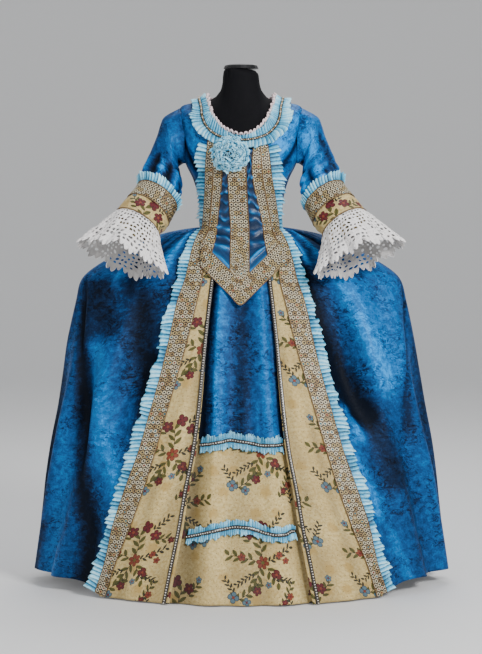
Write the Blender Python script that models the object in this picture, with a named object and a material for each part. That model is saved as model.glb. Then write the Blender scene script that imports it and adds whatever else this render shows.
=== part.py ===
"""Ball gown worn over side panniers, standing on a limbless dress form.

Metres, +Z up, the front of the gown faces -Y. The origin is on the floor
under the middle of the gown. Each cloth piece is a thin wall: the rows below
give its outer face and the wall grows inwards from it.
"""
import math

import bmesh
import bpy
from mathutils import Vector

for old in list(bpy.data.objects):
    bpy.data.objects.remove(old, do_unlink=True)

# Walls and clearances
cloth_wall = 0.0015
trim_wall = 0.0012
lace_wall = 0.0012
lay_gap = 0.0007
seam_gap = 0.0005
trim_lift = lay_gap + trim_wall

# Levels of the gown
waist_z = 1.005
lean_top = -0.012
lean_from_z = 0.9
lean_to_z = 1.2
wing_lift = 0.034
wing_from_x = 0.36
wing_width = 0.10

# Point of the bodice, below the waist
point_tip_z = 0.79
point_slope = 0.97
point_band = 0.068
centre_braid_half = 0.0255

# Numbers of gathers and waves
edge_frill_waves = 36
neck_frill_waves = 34
petticoat_frill_waves = 14
cuff_frill_waves = 11
satin_folds = 9
lace_repeats = 18
lace_hole_rows = 4

frill_rise = 0.009
petticoat_frill_rise = 0.0045
satin_rise = 0.0036
satin_waist_lift = 0.002
point_clearance = 0.0048
point_spread = 0.28
satin_inset = 0.0010
bodice_braid_lift = 0.0007
neck_frill_base = 2 * trim_lift + 0.0022
petticoat_inset = 0.014

# Where the trimmings start and end, as row places of the sheets they lie on
frill_top_place = 3.2
frill_waist_place = 8.8
frill_skirt_place = 0.45
frill_spacing_power = 0.92
braid_waist_place = 8.75
braid_skirt_place = 0.35
petticoat_join_place = 7.62

# Skirt sections from the waist to the hem: half width, depth in front and
# behind, roundness, and the places of the trimming lines on the front
skirt_names = ("z", "half", "front", "back", "power", "bead", "edge_in", "edge_out", "frill")
skirt_rows = (
    (1.0046, 0.1170, 0.0930, 0.0800, 3.00, 0.0600, 0.0860, 0.1060, 0.1145),
    (0.9980, 0.1780, 0.0945, 0.0880, 2.70, 0.0625, 0.0905, 0.1120, 0.1260),
    (0.9840, 0.2380, 0.0980, 0.1000, 2.60, 0.0660, 0.0970, 0.1210, 0.1390),
    (0.9560, 0.3080, 0.1080, 0.1220, 2.60, 0.0690, 0.1060, 0.1330, 0.1550),
    (0.9150, 0.3850, 0.1270, 0.1560, 2.60, 0.0720, 0.1070, 0.1440, 0.1690),
    (0.8660, 0.4500, 0.1500, 0.1900, 2.60, 0.0760, 0.1070, 0.1550, 0.1800),
    (0.8000, 0.4700, 0.1780, 0.2150, 2.55, 0.0835, 0.1225, 0.1770, 0.2000),
    (0.7000, 0.4890, 0.2150, 0.2520, 2.45, 0.0930, 0.1470, 0.1980, 0.2250),
    (0.6000, 0.5030, 0.2480, 0.2850, 2.35, 0.1010, 0.1750, 0.2220, 0.2460),
    (0.5000, 0.5170, 0.2820, 0.3120, 2.20, 0.1095, 0.2040, 0.2500, 0.2770),
    (0.4000, 0.5340, 0.3140, 0.3360, 2.10, 0.1220, 0.2330, 0.2790, 0.3070),
    (0.3000, 0.5480, 0.3450, 0.3570, 2.00, 0.1405, 0.2640, 0.3150, 0.3400),
    (0.2000, 0.5590, 0.3760, 0.3740, 1.90, 0.1560, 0.3000, 0.3480, 0.3660),
    (0.1000, 0.5710, 0.4020, 0.3880, 1.80, 0.1750, 0.3400, 0.3700, 0.3930),
    (0.0040, 0.5820, 0.4250, 0.3980, 1.70, 0.1930, 0.3700, 0.3980, 0.4240),
)

# Folds round one side of the overskirt, from the frill to the back seam:
# how far round each line is, and how far it stands out at the hem
fold_names = ("along", "out")
side_folds = (
    (0.07, -0.004), (0.15, 0.012), (0.24, -0.020), (0.34, 0.016), (0.43, -0.010),
    (0.52, 0.014), (0.61, -0.016), (0.70, 0.013), (0.79, -0.014), (0.89, 0.015),
)
back_folds = (
    (0.10, -0.014), (0.20, 0.018), (0.30, -0.016), (0.40, 0.020), (0.50, -0.018),
    (0.60, 0.019), (0.70, -0.017), (0.80, 0.017), (0.90, -0.014),
)

# Broad hollows and swells on the overskirt's front, beside the frills: which
# side, how far round, at what height, size both ways, slant and depth
hollow_names = ("side", "along", "z", "wide", "tall", "slant", "out")
hollow_rows = (
    (-1, 0.060, 0.62, 0.050, 0.16, -0.20, -0.026),
    (-1, 0.155, 0.58, 0.050, 0.25, -0.25, 0.012),
    (1, 0.065, 0.66, 0.055, 0.19, -0.20, -0.034),
    (1, 0.180, 0.62, 0.070, 0.22, -0.30, 0.014),
)

# Folds across the middle panel of the petticoat
panel_fold_names = ("across", "out")
panel_folds = (
    (-1.0, 0.000), (-0.78, -0.003), (-0.52, 0.006), (-0.22, -0.005), (0.05, 0.002),
    (0.30, -0.004), (0.55, 0.006), (0.80, -0.003), (1.0, 0.000),
)

# Bodice rings from the neckline down to the waist: heights in front, at the
# side and behind, half width, depths, roundness, the trimming lines on the
# front, and the angle of the armhole's front line
ring_names = ("z_front", "z_side", "z_back", "half", "front", "back", "power",
              "satin", "edge_in", "edge_out", "frill", "arm")
ring_rows = (
    (1.2620, 1.3710, 1.3470, 0.0960, 0.1130, 0.0620, 2.10, 0.0420, 0.0520, 0.0620, 0.0740, 62),
    (1.2540, 1.3600, 1.3350, 0.1350, 0.1155, 0.0740, 2.20, 0.0440, 0.0570, 0.0700, 0.0850, 66),
    (1.2450, 1.3450, 1.3180, 0.1720, 0.1180, 0.0880, 2.20, 0.0460, 0.0610, 0.0800, 0.0980, 75),
    (1.2280, 1.2920, 1.2700, 0.1720, 0.1240, 0.1020, 2.30, 0.0450, 0.0630, 0.0830, 0.1050, 64),
    (1.2050, 1.2400, 1.2250, 0.1680, 0.1300, 0.1050, 2.30, 0.0430, 0.0650, 0.0860, 0.1120, 67),
    (1.1750, 1.1920, 1.1800, 0.1580, 0.1330, 0.1020, 2.30, 0.0410, 0.0670, 0.0890, 0.1160, 78),
    (1.1350, 1.1450, 1.1350, 0.1360, 0.1240, 0.0940, 2.40, 0.0430, 0.0690, 0.0920, 0.1170, 80),
    (1.0900, 1.0950, 1.0900, 0.1210, 0.1080, 0.0860, 2.50, 0.0500, 0.0750, 0.0970, 0.1140, 82),
    (1.0450, 1.0450, 1.0450, 0.1165, 0.0970, 0.0820, 2.80, 0.0580, 0.0810, 0.1020, 0.1125, 83),
    (1.0052, 1.0052, 1.0052, 0.1170, 0.0930, 0.0800, 3.00, 0.0630, 0.0860, 0.1060, 0.1145, 84),
)
shoulder_ring = 2
armpit_ring = 5
waist_ring = 9
ring_drop_power = 1.3

# Sleeve and cuff sections on the +X side: middle, half width, half depth,
# tilt of the wide way, and how far the sleeve points forward. The last
# section is the rim of the lace
arm_names = ("x", "y", "z", "wide", "deep", "tilt", "pitch")
arm_rows = (
    (0.1720, -0.0030, 1.2680, 0.0760, 0.0580, 88, 0),
    (0.1960, -0.0050, 1.2500, 0.0730, 0.0600, 74, 4),
    (0.2050, -0.0180, 1.2130, 0.0600, 0.0570, 58, 14),
    (0.2140, -0.0400, 1.1650, 0.0620, 0.0550, 45, 26),
    (0.2260, -0.0680, 1.1250, 0.0640, 0.0540, 38, 32),
    (0.2340, -0.0900, 1.0950, 0.0630, 0.0540, 36, 34),
    (0.2590, -0.1180, 1.0540, 0.0670, 0.0560, 36, 34),
    (0.2870, -0.1500, 1.0160, 0.0680, 0.0580, 33, 34),
    (0.3250, -0.2150, 0.9250, 0.1190, 0.0620, 22, 32),
)
sleeve_end = 5
braid_end = 6
cuff_end = 7
lace_end = 8
sleeve_columns = 20

# Dress form: rings above the neckline and below the waist
form_names = ("z_front", "z_side", "z_back", "half", "front", "back")
form_neck_rows = (
    (1.4550, 1.4550, 1.4550, 0.0520, 0.0480, 0.0560),
    (1.4100, 1.4150, 1.4180, 0.0535, 0.0490, 0.0570),
    (1.3450, 1.3960, 1.3920, 0.0590, 0.0610, 0.0590),
    (1.3020, 1.3800, 1.3700, 0.0740, 0.0890, 0.0600),
)
form_hip_rows = (
    (0.9800, 0.9800, 0.9800, 0.1220, 0.0880, 0.0780),
    (0.9500, 0.9500, 0.9500, 0.1400, 0.0920, 0.0880),
    (0.9000, 0.9000, 0.9000, 0.1570, 0.1000, 0.1000),
    (0.8500, 0.8500, 0.8500, 0.1620, 0.1040, 0.1060),
    (0.8200, 0.8200, 0.8200, 0.1560, 0.1000, 0.1020),
)
form_gap = 0.0025
form_shoulder_gap = 0.0006
cap_height = 0.012
cap_radius = 0.050
pole_radius = 0.016
base_radius = 0.17
base_height = 0.022
rest_gap = 0.0003

# Double frills across the petticoat: middle line, reach to each side and sway,
# as row places of the petticoat
petticoat_frill_names = ("node", "middle", "reach", "sway")
petticoat_frill_rows = (
    ("frill_petticoat_upper", 7.76, 0.21, 0.05),
    ("frill_petticoat_lower", 10.05, 0.20, 0.09),
)

# Sleeve rings below the armhole: place along the sleeve and depth of the folds
sleeve_fold_names = ("place", "depth")
sleeve_fold_rows = ((1.0, 0.0), (1.5, 0.001), (2.0, 0.002), (3.0, 0.003), (4.0, 0.003), (4.992, 0.0))

# Rosette rings from the middle of its face round to its back
rosette_names = ("radius", "depth", "wave")
rosette_rows = (
    (0.016, -0.010, 0.003),
    (0.030, -0.004, 0.004),
    (0.044, 0.000, 0.005),
    (0.055, 0.006, 0.004),
    (0.050, 0.010, 0.003),
    (0.020, 0.012, 0.0),
    (0.007, 0.012, 0.0),
)
rosette_columns = 22
rosette_z = 1.211
rosette_forward = 0.026
rosette_face = -0.006
rosette_stub = 0.006

# Columns of the bodice, counted from the middle of the front
column = {"satin": 4, "edge_in": 5, "edge_out": 6, "frill": 7, "arm": 9, "side": 10, "arm_back": 11}
# Columns of the skirt, counted the same way
skirt_column = {"bead": 2, "edge_in": 3, "seam": 4, "edge_out": 5, "frill": 6, "back_seam": 17}
back_seam_angle = 140.0


def record(names, row):
    """One row of a table, by the names of its columns."""
    return dict(zip(names, row))


def listed(names, rows, name):
    """One column of a table."""
    place = names.index(name)
    return [row[place] for row in rows]


def mix(a, b, t):
    return a + (b - a) * t


def smooth(t):
    t = min(max(t, 0.0), 1.0)
    return t * t * (3.0 - 2.0 * t)


def curve_value(values, v):
    """Value of a smooth curve through the given ones, at a fractional index."""
    last = len(values) - 1
    i = min(max(int(math.floor(v)), 0), last - 1)
    t = v - i
    p1 = values[i]
    p2 = values[i + 1]
    p0 = values[i - 1] if i > 0 else 2 * p1 - p2
    p3 = values[i + 2] if i + 2 <= last else 2 * p2 - p1
    m1 = (p2 - p0) / 2
    m2 = (p3 - p1) / 2
    t2 = t * t
    t3 = t2 * t
    return (2 * t3 - 3 * t2 + 1) * p1 + (t3 - 2 * t2 + t) * m1 + (3 * t2 - 2 * t3) * p2 + (t3 - t2) * m2


def table_at(names, rows, v):
    """A table read at a fractional row."""
    return {name: curve_value(listed(names, rows, name), v) for name in names}


def section_point(s, angle, z):
    """Point on a rounded section; the angle is 0 in front and 90 at +X."""
    sine = math.sin(angle)
    cosine = math.cos(angle)
    power = 2.0 / s["power"]
    depth = s["front"] if cosine >= 0 else s["back"]
    x = math.copysign(s["half"] * abs(sine) ** power, sine)
    y = -math.copysign(depth * abs(cosine) ** power, cosine)
    return Vector((x, y, z))


def angle_at_x(s, x):
    share = min(abs(x) / s["half"], 0.998)
    return math.copysign(math.asin(share ** (s["power"] / 2.0)), x)


def lean(z):
    """The middle of the front leans a little to the wearer's right."""
    return lean_top * smooth((z - lean_from_z) / (lean_to_z - lean_from_z))


def line_angle(s, side, offset, z):
    x = side * offset + lean(z) * (1.0 - (offset / s["half"]) ** 2)
    return angle_at_x(s, x)


class Sheet:
    """Rows of points over a surface, with the outward normal at each point."""

    def __init__(self, rows):
        self.rows = rows
        self.closed = (rows[0][0] - rows[0][-1]).length < 1e-6
        self.normals = [[self.normal(r, c) for c in range(len(rows[0]))] for r in range(len(rows))]

    def normal(self, r, c):
        last_row = len(self.rows) - 1
        last = len(self.rows[0]) - 1
        up = self.rows[max(r - 1, 0)][c]
        down = self.rows[min(r + 1, last_row)][c]
        if self.closed and c in (0, last):
            left = self.rows[r][last - 1]
            right = self.rows[r][1]
        else:
            left = self.rows[r][max(c - 1, 0)]
            right = self.rows[r][min(c + 1, last)]
        return (down - up).cross(right - left).normalized()

    def point(self, u, v, out=0.0):
        """Point at a fractional column and row, on the flat facets."""
        c = min(max(int(math.floor(u + 1e-9)), 0), len(self.rows[0]) - 2)
        r = min(max(int(math.floor(v + 1e-9)), 0), len(self.rows) - 2)
        fu = u - c
        fv = v - r
        return (self.facet(self.rows, r, c, fu, fv)
                + self.facet(self.normals, r, c, fu, fv).normalized() * out)

    def facet(self, grid, r, c, fu, fv):
        near = grid[r][c]
        far = grid[r + 1][c + 1]
        if fu >= fv:
            corner = grid[r][c + 1]
            return near + (corner - near) * fu + (far - corner) * fv
        corner = grid[r + 1][c]
        return near + (corner - near) * fv + (far - corner) * fu

    def u_at_x(self, v, x):
        """Column place on the front where the surface has the given x."""
        r = min(int(v), len(self.rows) - 2)
        t = v - r
        line = [mix(a.x, b.x, t) for a, b in zip(self.rows[r], self.rows[r + 1])]
        middle = len(line) // 2
        step = 1 if x >= line[middle] else -1
        c = middle
        while (line[c + step] - x) * step < 0:
            c += step
        return c + step * (x - line[c]) / (line[c + step] - line[c])


def moved_out(sheet, out):
    return [[p + n * out for p, n in zip(row, normals)]
            for row, normals in zip(sheet.rows, sheet.normals)]


def pulled_in(rows, at_start=True, at_end=True, amount=seam_gap / 2):
    """Rows whose first and last points are moved in, to leave a seam."""
    result = []
    for row in rows:
        new = list(row)
        if at_start:
            new[0] = row[0] + (row[1] - row[0]).normalized() * amount
        if at_end:
            new[-1] = row[-1] + (row[-2] - row[-1]).normalized() * amount
        result.append(new)
    return result


def material(name, colour, roughness, metallic=0.0):
    made = bpy.data.materials.new(name)
    made.use_nodes = True
    shader = made.node_tree.nodes["Principled BSDF"]
    shader.inputs["Base Color"].default_value = (*colour, 1.0)
    shader.inputs["Roughness"].default_value = roughness
    shader.inputs["Metallic"].default_value = metallic
    return made


def add_mesh(name, points, faces, finish):
    mesh = bpy.data.meshes.new(name)
    mesh.from_pydata(points, [], faces)
    mesh.shade_smooth()
    thing = bpy.data.objects.new(name, mesh)
    bpy.context.collection.objects.link(thing)
    mesh.materials.append(materials[finish])
    return thing


def grid_faces(row_count, column_count, closed, skip):
    """Triangles of a grid, all split the same way, facing outwards."""
    faces = []
    for r in range(row_count - 1):
        for c in range(column_count if closed else column_count - 1):
            if skip and skip(r, c):
                continue
            near = r * column_count + c
            right = r * column_count + (c + 1) % column_count
            below = near + column_count
            far = right + column_count
            faces.append((near, below, far))
            faces.append((near, far, right))
    return faces


def cloth(name, rows, finish, wall=cloth_wall, closed=False, skip=None, normals=None):
    """A cloth piece: its outer face from rows of points, with a wall inwards."""
    if normals is None:
        around = [row + [row[0]] if closed else row for row in rows]
        normals = Sheet(around).normals
    count = len(rows[0])
    points = [p for row in rows for p in row]
    thing = add_mesh(name, points, grid_faces(len(rows), count, closed, skip), finish)
    inward = [n * -wall for row in normals for n in row[:count]]
    give_wall(thing.data, inward)
    return thing


def give_wall(mesh, inward):
    """Extrudes a sheet's faces and moves the new ones in, point by point."""
    shape = bmesh.new()
    shape.from_mesh(mesh)
    place = shape.verts.layers.int.new("place")
    for vert in shape.verts:
        vert[place] = vert.index
    grown = bmesh.ops.extrude_face_region(shape, geom=shape.faces[:], use_keep_orig=True)
    for item in grown["geom"]:
        if isinstance(item, bmesh.types.BMVert):
            item.co += inward[item[place]]
    unused = [vert for vert in shape.verts if not vert.link_faces]
    bmesh.ops.delete(shape, geom=unused, context="VERTS")
    bmesh.ops.recalc_face_normals(shape, faces=shape.faces[:])
    shape.to_mesh(mesh)
    shape.free()


def mirrored(rows):
    """The same rows on the other side, still facing outwards."""
    return [[Vector((-p.x, p.y, p.z)) for p in reversed(row)] for row in rows]


def ring_point(ring, angle):
    """Point of a bodice or form ring, which dips in front and behind."""
    share = abs(math.cos(angle)) ** ring_drop_power
    low = ring["z_front"] if math.cos(angle) >= 0 else ring["z_back"]
    return section_point(ring, angle, mix(ring["z_side"], low, share))


def satin_offsets(ring):
    """How far the satin front's lines are from the middle of a ring."""
    satin = ring["satin"]
    return [0.0, centre_braid_half, mix(centre_braid_half, satin, 0.33),
            mix(centre_braid_half, satin, 0.67), satin, ring["edge_in"]]


def bodice_angles(ring):
    """Angles of the bodice's columns, from the back round the front."""
    z = ring["z_front"]
    offsets = satin_offsets(ring) + [ring["edge_out"], ring["frill"]]
    sides = {}
    for side in (-1, 1):
        angles = [line_angle(ring, side, offset, z) for offset in offsets]
        arm = math.radians(ring["arm"])
        chest = mix(abs(angles[-1]), arm, 0.5)
        arm_back = math.pi - arm
        round_the_back = [chest, arm, math.pi / 2, arm_back,
                          mix(arm_back, math.pi, 0.35), mix(arm_back, math.pi, 0.7), math.pi]
        sides[side] = angles + [side * a for a in round_the_back]
    return sides[-1][:0:-1] + sides[1]


def bodice_sheet():
    rows = []
    for row in ring_rows:
        ring = record(ring_names, row)
        rows.append([ring_point(ring, angle) for angle in bodice_angles(ring)])
    return Sheet(rows)


def fold_reach(z):
    """Folds start below the panniers and are deepest at the hem."""
    return smooth((0.93 - z) / 0.55)


def lifted(point):
    """The side wings of the skirt clear the floor a little more."""
    raise_by = wing_lift * smooth((abs(point.x) - wing_from_x) / wing_width)
    return point + Vector((0, 0, raise_by * smooth((0.5 - point.z) / 0.5)))


def skirt_angles(s):
    sides = {}
    end = math.radians(back_seam_angle)
    for side in (-1, 1):
        lines = [0.0, s["bead"] / 2, s["bead"], s["edge_in"],
                 (s["edge_in"] + s["edge_out"]) / 2, s["edge_out"], s["frill"]]
        angles = [line_angle(s, side, offset, s["z"]) for offset in lines]
        start = abs(angles[-1])
        angles += [side * mix(start, end, along) for along in listed(fold_names, side_folds, "along")]
        angles += [side * end]
        sides[side] = angles
    back = [mix(end, 2 * math.pi - end, along) for along in listed(fold_names, back_folds, "along")]
    half_back = back[:len(back) // 2 + 1]
    right = sides[1] + half_back
    left = [-a for a in half_back[::-1]] + sides[-1][::-1]
    return left[:-1] + right


def hollow_out(side, along, z):
    """How far the broad hollows and swells move a place of one side."""
    total = 0.0
    for h in [record(hollow_names, row) for row in hollow_rows]:
        if h["side"] == side:
            across = (along - h["along"] - h["slant"] * (z - h["z"])) / h["wide"]
            total += h["out"] * math.exp(-across ** 2 - ((z - h["z"]) / h["tall"]) ** 2)
    return total


def half_offsets(side, z):
    """Offsets of the skirt's columns on one side, from the front to the back."""
    reach = fold_reach(z)
    plain = [0.0] * (skirt_column["frill"] + 1)
    round_the_side = [record(fold_names, row) for row in side_folds]
    folds = [fold["out"] * reach + hollow_out(side, fold["along"], z) for fold in round_the_side]
    back = [out * reach for out in listed(fold_names, back_folds, "out")]
    return plain + folds + [0.0] + back[:len(back) // 2 + 1]


def skirt_offsets(z):
    return half_offsets(-1, z)[:0:-1] + half_offsets(1, z)


def skirt_sheet():
    smooth_rows = []
    for row in skirt_rows:
        s = record(skirt_names, row)
        smooth_rows.append([section_point(s, angle, s["z"]) for angle in skirt_angles(s)])
    plain = Sheet(smooth_rows)
    rows = []
    for row, normals in zip(plain.rows, plain.normals):
        offsets = skirt_offsets(row[0].z)
        rows.append([lifted(p + n * out) for p, n, out in zip(row, normals, offsets)])
    return Sheet(rows)


def columns(sheet, start, end, top=0, bottom=None):
    """Part of a sheet, between two columns counted from the front middle."""
    middle = len(sheet.rows[0]) // 2
    bottom = len(sheet.rows) - 1 if bottom is None else bottom
    first = middle + start
    last = middle + end + 1
    rows = [sheet.rows[r][first:last] for r in range(top, bottom + 1)]
    normals = [sheet.normals[r][first:last] for r in range(top, bottom + 1)]
    return rows, normals


def round_the_back(sheet, start):
    """Part of a sheet, from a column on the +X side round to its twin."""
    middle = len(sheet.rows[0]) // 2
    rows = [row[middle + start:] + row[1:middle - start + 1] for row in sheet.rows]
    normals = [row[middle + start:] + row[1:middle - start + 1] for row in sheet.normals]
    return rows, normals


def bodice_front(bodice, side):
    """Robe front: from the satin to the side seam, with the armhole's front half."""
    start = column["edge_in"]
    end = column["side"]
    if side > 0:
        rows, normals = columns(bodice, start, end)
        hole = column["arm"] - start
    else:
        rows, normals = columns(bodice, -end, -start)
        hole = 0

    def skip(r, c):
        return shoulder_ring <= r < armpit_ring and c == hole

    name = "bodice_front_right" if side > 0 else "bodice_front_left"
    return cloth(name, pulled_in(rows), "velvet", skip=skip, normals=normals)


def bodice_back(bodice):
    rows, normals = round_the_back(bodice, column["side"])
    last = len(rows[0]) - 2

    def skip(r, c):
        return shoulder_ring <= r < armpit_ring and c in (0, last)

    return cloth("bodice_back", pulled_in(rows), "velvet", skip=skip, normals=normals)


def satin_line(ring, side, index):
    """Sideways place of one of the satin panel's lines at a bodice ring."""
    offset = satin_offsets(ring)[index]
    return side * offset + lean(ring["z_front"]) * (1 - (offset / ring["half"]) ** 2)


def satin_grid(bodice, skirt):
    """The satin front, down to its point, as rows over bodice and skirt."""
    middle = len(bodice.rows[0]) // 2
    edge = column["edge_in"]
    upper_rows = satin_folds * 2
    rows = []
    for k in range(upper_rows + 1):
        v = waist_ring * k / upper_rows
        row = []
        for c in range(-edge, edge + 1):
            ruched = satin_rise if k % 2 and 1 < abs(c) < column["satin"] else 0.0
            lift = satin_waist_lift * smooth(v - waist_ring + 1)
            row.append(bodice.point(middle + c, v, ruched + lift))
        rows.append(row)
    waist = record(ring_names, ring_rows[-1])
    for share in (0.35, 0.7, 1.0):
        rows.append([point_place(skirt, waist, c, share, 0.0) for c in range(-edge, edge + 1)])
    rows.append([point_place(skirt, waist, c, 1.0, 1.0) for c in range(-edge, edge + 1)])
    return rows


def point_place(skirt, waist, c, share, band):
    """A place below the waist: share runs to the point's braid, band across it."""
    side = 1 if c >= 0 else -1
    start = satin_line(waist, side, abs(c))
    spread = 1.0 + point_spread * smooth(abs(start) / 0.09)
    x = start * mix(1.0, spread, share)
    low = point_tip_z + point_slope * abs(x)
    high = min(low + point_band, waist_z - 0.012)
    z = mix(mix(waist_z - 0.004, high, share), low, band)
    return on_skirt_front(skirt, x, z, point_clearance)


def on_skirt_front(skirt, x, z, out):
    """The place on the front of the skirt with this x and height."""
    rows = skirt.rows
    middle = len(rows[0]) // 2
    r = 0
    while r < len(rows) - 2 and rows[r + 1][middle].z > z:
        r += 1
    v = r + (rows[r][middle].z - z) / (rows[r][middle].z - rows[r + 1][middle].z)
    return skirt.point(skirt.u_at_x(v, x), v, out)


def satin_and_braids(bodice, skirt):
    rows = satin_grid(bodice, skirt)
    sheet = Sheet(rows)
    cloth("stomacher", pulled_in(rows, amount=satin_inset), "satin", normals=sheet.normals)
    edge = column["edge_in"]
    satin = column["satin"]
    last = len(rows) - 2

    def laid(name, first, end, top, bottom):
        raised = moved_out(sheet, trim_lift)
        part = [row[first:end] for row in raised[top:bottom]]
        normals = [row[first:end] for row in sheet.normals[top:bottom]]
        if name == "braid_point":
            part[0] = [mix(a, b, 0.012) for a, b in zip(part[0], part[1])]
        cloth(name, pulled_in(part, amount=satin_inset), "braid", trim_wall, normals=normals)

    laid("braid_centre", edge - 1, edge + 2, 2, last + 1)
    laid("braid_stomacher_left", 0, edge - satin + 1, 1, last + 1)
    laid("braid_stomacher_right", edge + satin, 2 * edge + 1, 1, last + 1)
    laid("braid_point", 0, 2 * edge + 1, last, last + 2)


def edge_stations(bodice, skirt, top):
    """Where an edge trimming runs: first down the bodice, then the skirt."""
    steps = [(bodice, v) for v in range(top, waist_ring)]
    steps += [(bodice, braid_waist_place), (skirt, braid_skirt_place)]
    steps += [(skirt, float(v)) for v in range(1, len(skirt.rows))]
    return steps


def edge_place(sheet, bodice, side, name, v, out):
    """A point on a named edge line of the bodice or the skirt."""
    middle = len(sheet.rows[0]) // 2
    index = column[name] if sheet is bodice else skirt_column[name]
    return sheet.point(middle + side * index, v, out)


def edge_braid(bodice, skirt, side):
    rows = []
    for sheet, v in edge_stations(bodice, skirt, 2):
        lift = trim_lift + bodice_braid_lift if sheet is bodice else trim_lift
        inner = edge_place(sheet, bodice, side, "edge_in", v, lift)
        outer = edge_place(sheet, bodice, side, "edge_out", v, lift)
        if sheet is bodice:
            middle = len(sheet.rows[0]) // 2
            centre = sheet.point(middle + side * (column["edge_in"] + 0.5), v, lift)
        else:
            centre = edge_place(sheet, bodice, side, "seam", v, lift)
        row = [inner, centre, outer]
        rows.append(row if side > 0 else row[::-1])
    name = "braid_robe_right" if side > 0 else "braid_robe_left"
    return cloth(name, pulled_in(rows), "braid", trim_wall)


def edge_frill(bodice, skirt, side):
    """Pleated frill outside the robe braid, from the neck to the hem."""
    waves = edge_frill_waves
    stations = []
    bodice_steps = 12
    for k in range(bodice_steps + 1):
        stations.append((bodice, mix(frill_top_place, frill_waist_place, k / bodice_steps)))
    skirt_steps = waves * 2 - bodice_steps - 1
    last = len(skirt.rows) - 1
    for k in range(skirt_steps + 1):
        share = (k / skirt_steps) ** frill_spacing_power
        stations.append((skirt, mix(frill_skirt_place, last, share)))
    rows = []
    for k, (sheet, v) in enumerate(stations):
        at_waist = 1.0 - smooth(abs(sheet.point(0, v).z - waist_z) / 0.03)
        rise = frill_rise * (1.0 - 0.7 * at_waist) if k % 2 else 0.0
        inner = edge_place(sheet, bodice, side, "edge_out", v, trim_lift + rise * 0.15)
        outer = edge_place(sheet, bodice, side, "frill", v, trim_lift + 0.0006 + rise)
        start = inner + (outer - inner).normalized() * (seam_gap + 0.0006)
        row = [start, outer]
        rows.append(row if side > 0 else row[::-1])
    name = "frill_robe_right" if side > 0 else "frill_robe_left"
    return cloth(name, rows, "frill", trim_wall)


def neck_outer_row(angle):
    """How far down the bodice rings the neck frill reaches, round the neck."""
    front = smooth(abs(math.cos(angle)))
    return mix(1.25, 3.0 if math.cos(angle) >= 0 else 2.2, front)


def neck_places(bodice):
    """Column places round the neck: every column, and waves between them."""
    ring = bodice.rows[1]
    lengths = [(b - a).length for a, b in zip(ring, ring[1:])]
    pitch = sum(lengths) / (2 * neck_frill_waves)
    steps = [max(1, round(length / pitch)) for length in lengths]
    if sum(steps) % 2:
        steps[steps.index(max(steps))] += 1
    return [c + k / count for c, count in enumerate(steps) for k in range(count)]


def neck_frill(bodice):
    """Double frill round the neckline, waved on both of its edges."""
    rows = [[], [], []]
    for k, u in enumerate(neck_places(bodice)):
        foot = bodice.point(u, 1.0)
        reach = neck_outer_row(math.atan2(foot.x, -foot.y))
        wave = frill_rise * 0.8 if k % 2 else 0.0
        rows[0].append(bodice.point(u, 0.02, neck_frill_base + wave))
        rows[1].append(bodice.point(u, reach * 0.48, neck_frill_base + 0.0015))
        rows[2].append(bodice.point(u, reach, neck_frill_base + wave))
    return cloth("frill_neck", rows, "frill", trim_wall, closed=True)


def overskirt(skirt):
    seam = skirt_column["seam"]
    back_seam = skirt_column["back_seam"]
    rows, normals = columns(skirt, seam, back_seam)
    cloth("overskirt_right", pulled_in(rows), "velvet", normals=normals)
    rows, normals = columns(skirt, -back_seam, -seam)
    cloth("overskirt_left", pulled_in(rows), "velvet", normals=normals)
    rows, normals = round_the_back(skirt, back_seam)
    cloth("overskirt_back", pulled_in(rows), "velvet", normals=normals)


def brocade_panels(skirt):
    """Flowered panels between the petticoat's middle and the robe."""
    top = 2
    rows, normals = columns(skirt, skirt_column["bead"], skirt_column["seam"], top)
    cloth("panel_right", pulled_in(rows, False, True), "brocade", normals=normals)
    rows, normals = columns(skirt, -skirt_column["seam"], -skirt_column["bead"], top)
    cloth("panel_left", pulled_in(rows, True, False), "brocade", normals=normals)


def petticoat_sheet(skirt):
    """The middle of the petticoat, set back behind the flowered panels."""
    rows = []
    for s in [record(skirt_names, row) for row in skirt_rows]:
        if s["z"] > 0.99:
            continue
        reach = fold_reach(s["z"])
        inset = mix(cloth_wall + 0.0009, petticoat_inset, smooth((0.97 - s["z"]) / 0.6))
        half = s["bead"] + 0.010
        line = []
        for row in panel_folds:
            fold = record(panel_fold_names, row)
            x = half * fold["across"] + lean(s["z"])
            point = section_point(s, angle_at_x(s, x), s["z"])
            point.y += inset - fold["out"] * reach
            line.append(point)
        rows.append(line)
    return Sheet(rows)


def petticoat(skirt):
    sheet = petticoat_sheet(skirt)
    last_row = len(sheet.rows) - 1
    last = len(sheet.rows[0]) - 1
    join = petticoat_join_place
    below = math.ceil(join)
    velvet_rows = [float(v) for v in range(below)] + [join]
    velvet = [[sheet.point(c, v) for c in range(last + 1)] for v in velvet_rows]
    cloth("petticoat_velvet", velvet, "velvet")
    brocade_rows = [join + 0.005] + [float(v) for v in range(below, last_row + 1)]
    brocade = [[sheet.point(c, v) for c in range(last + 1)] for v in brocade_rows]
    cloth("petticoat_brocade", brocade, "brocade")
    for row in petticoat_frill_rows:
        petticoat_frill(sheet, record(petticoat_frill_names, row))


def petticoat_frill(sheet, line):
    """Double frill across the petticoat, swaying as it goes."""
    count = petticoat_frill_waves * 2
    last = len(sheet.rows[0]) - 1
    rows = [[], [], []]
    for k in range(count + 1):
        share = k / count
        u = mix(0.62, last - 0.62, share)
        middle = line["middle"] + line["sway"] * math.sin(share * 6.0 * math.pi + 0.6)
        wave = petticoat_frill_rise if k % 2 else 0.0
        rows[0].append(sheet.point(u, middle - line["reach"], trim_lift + 0.0006 + wave))
        rows[1].append(sheet.point(u, middle, trim_lift + 0.001))
        rows[2].append(sheet.point(u, middle + line["reach"], trim_lift + 0.0006 + wave))
    return cloth(line["node"], rows, "frill", trim_wall)


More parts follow.
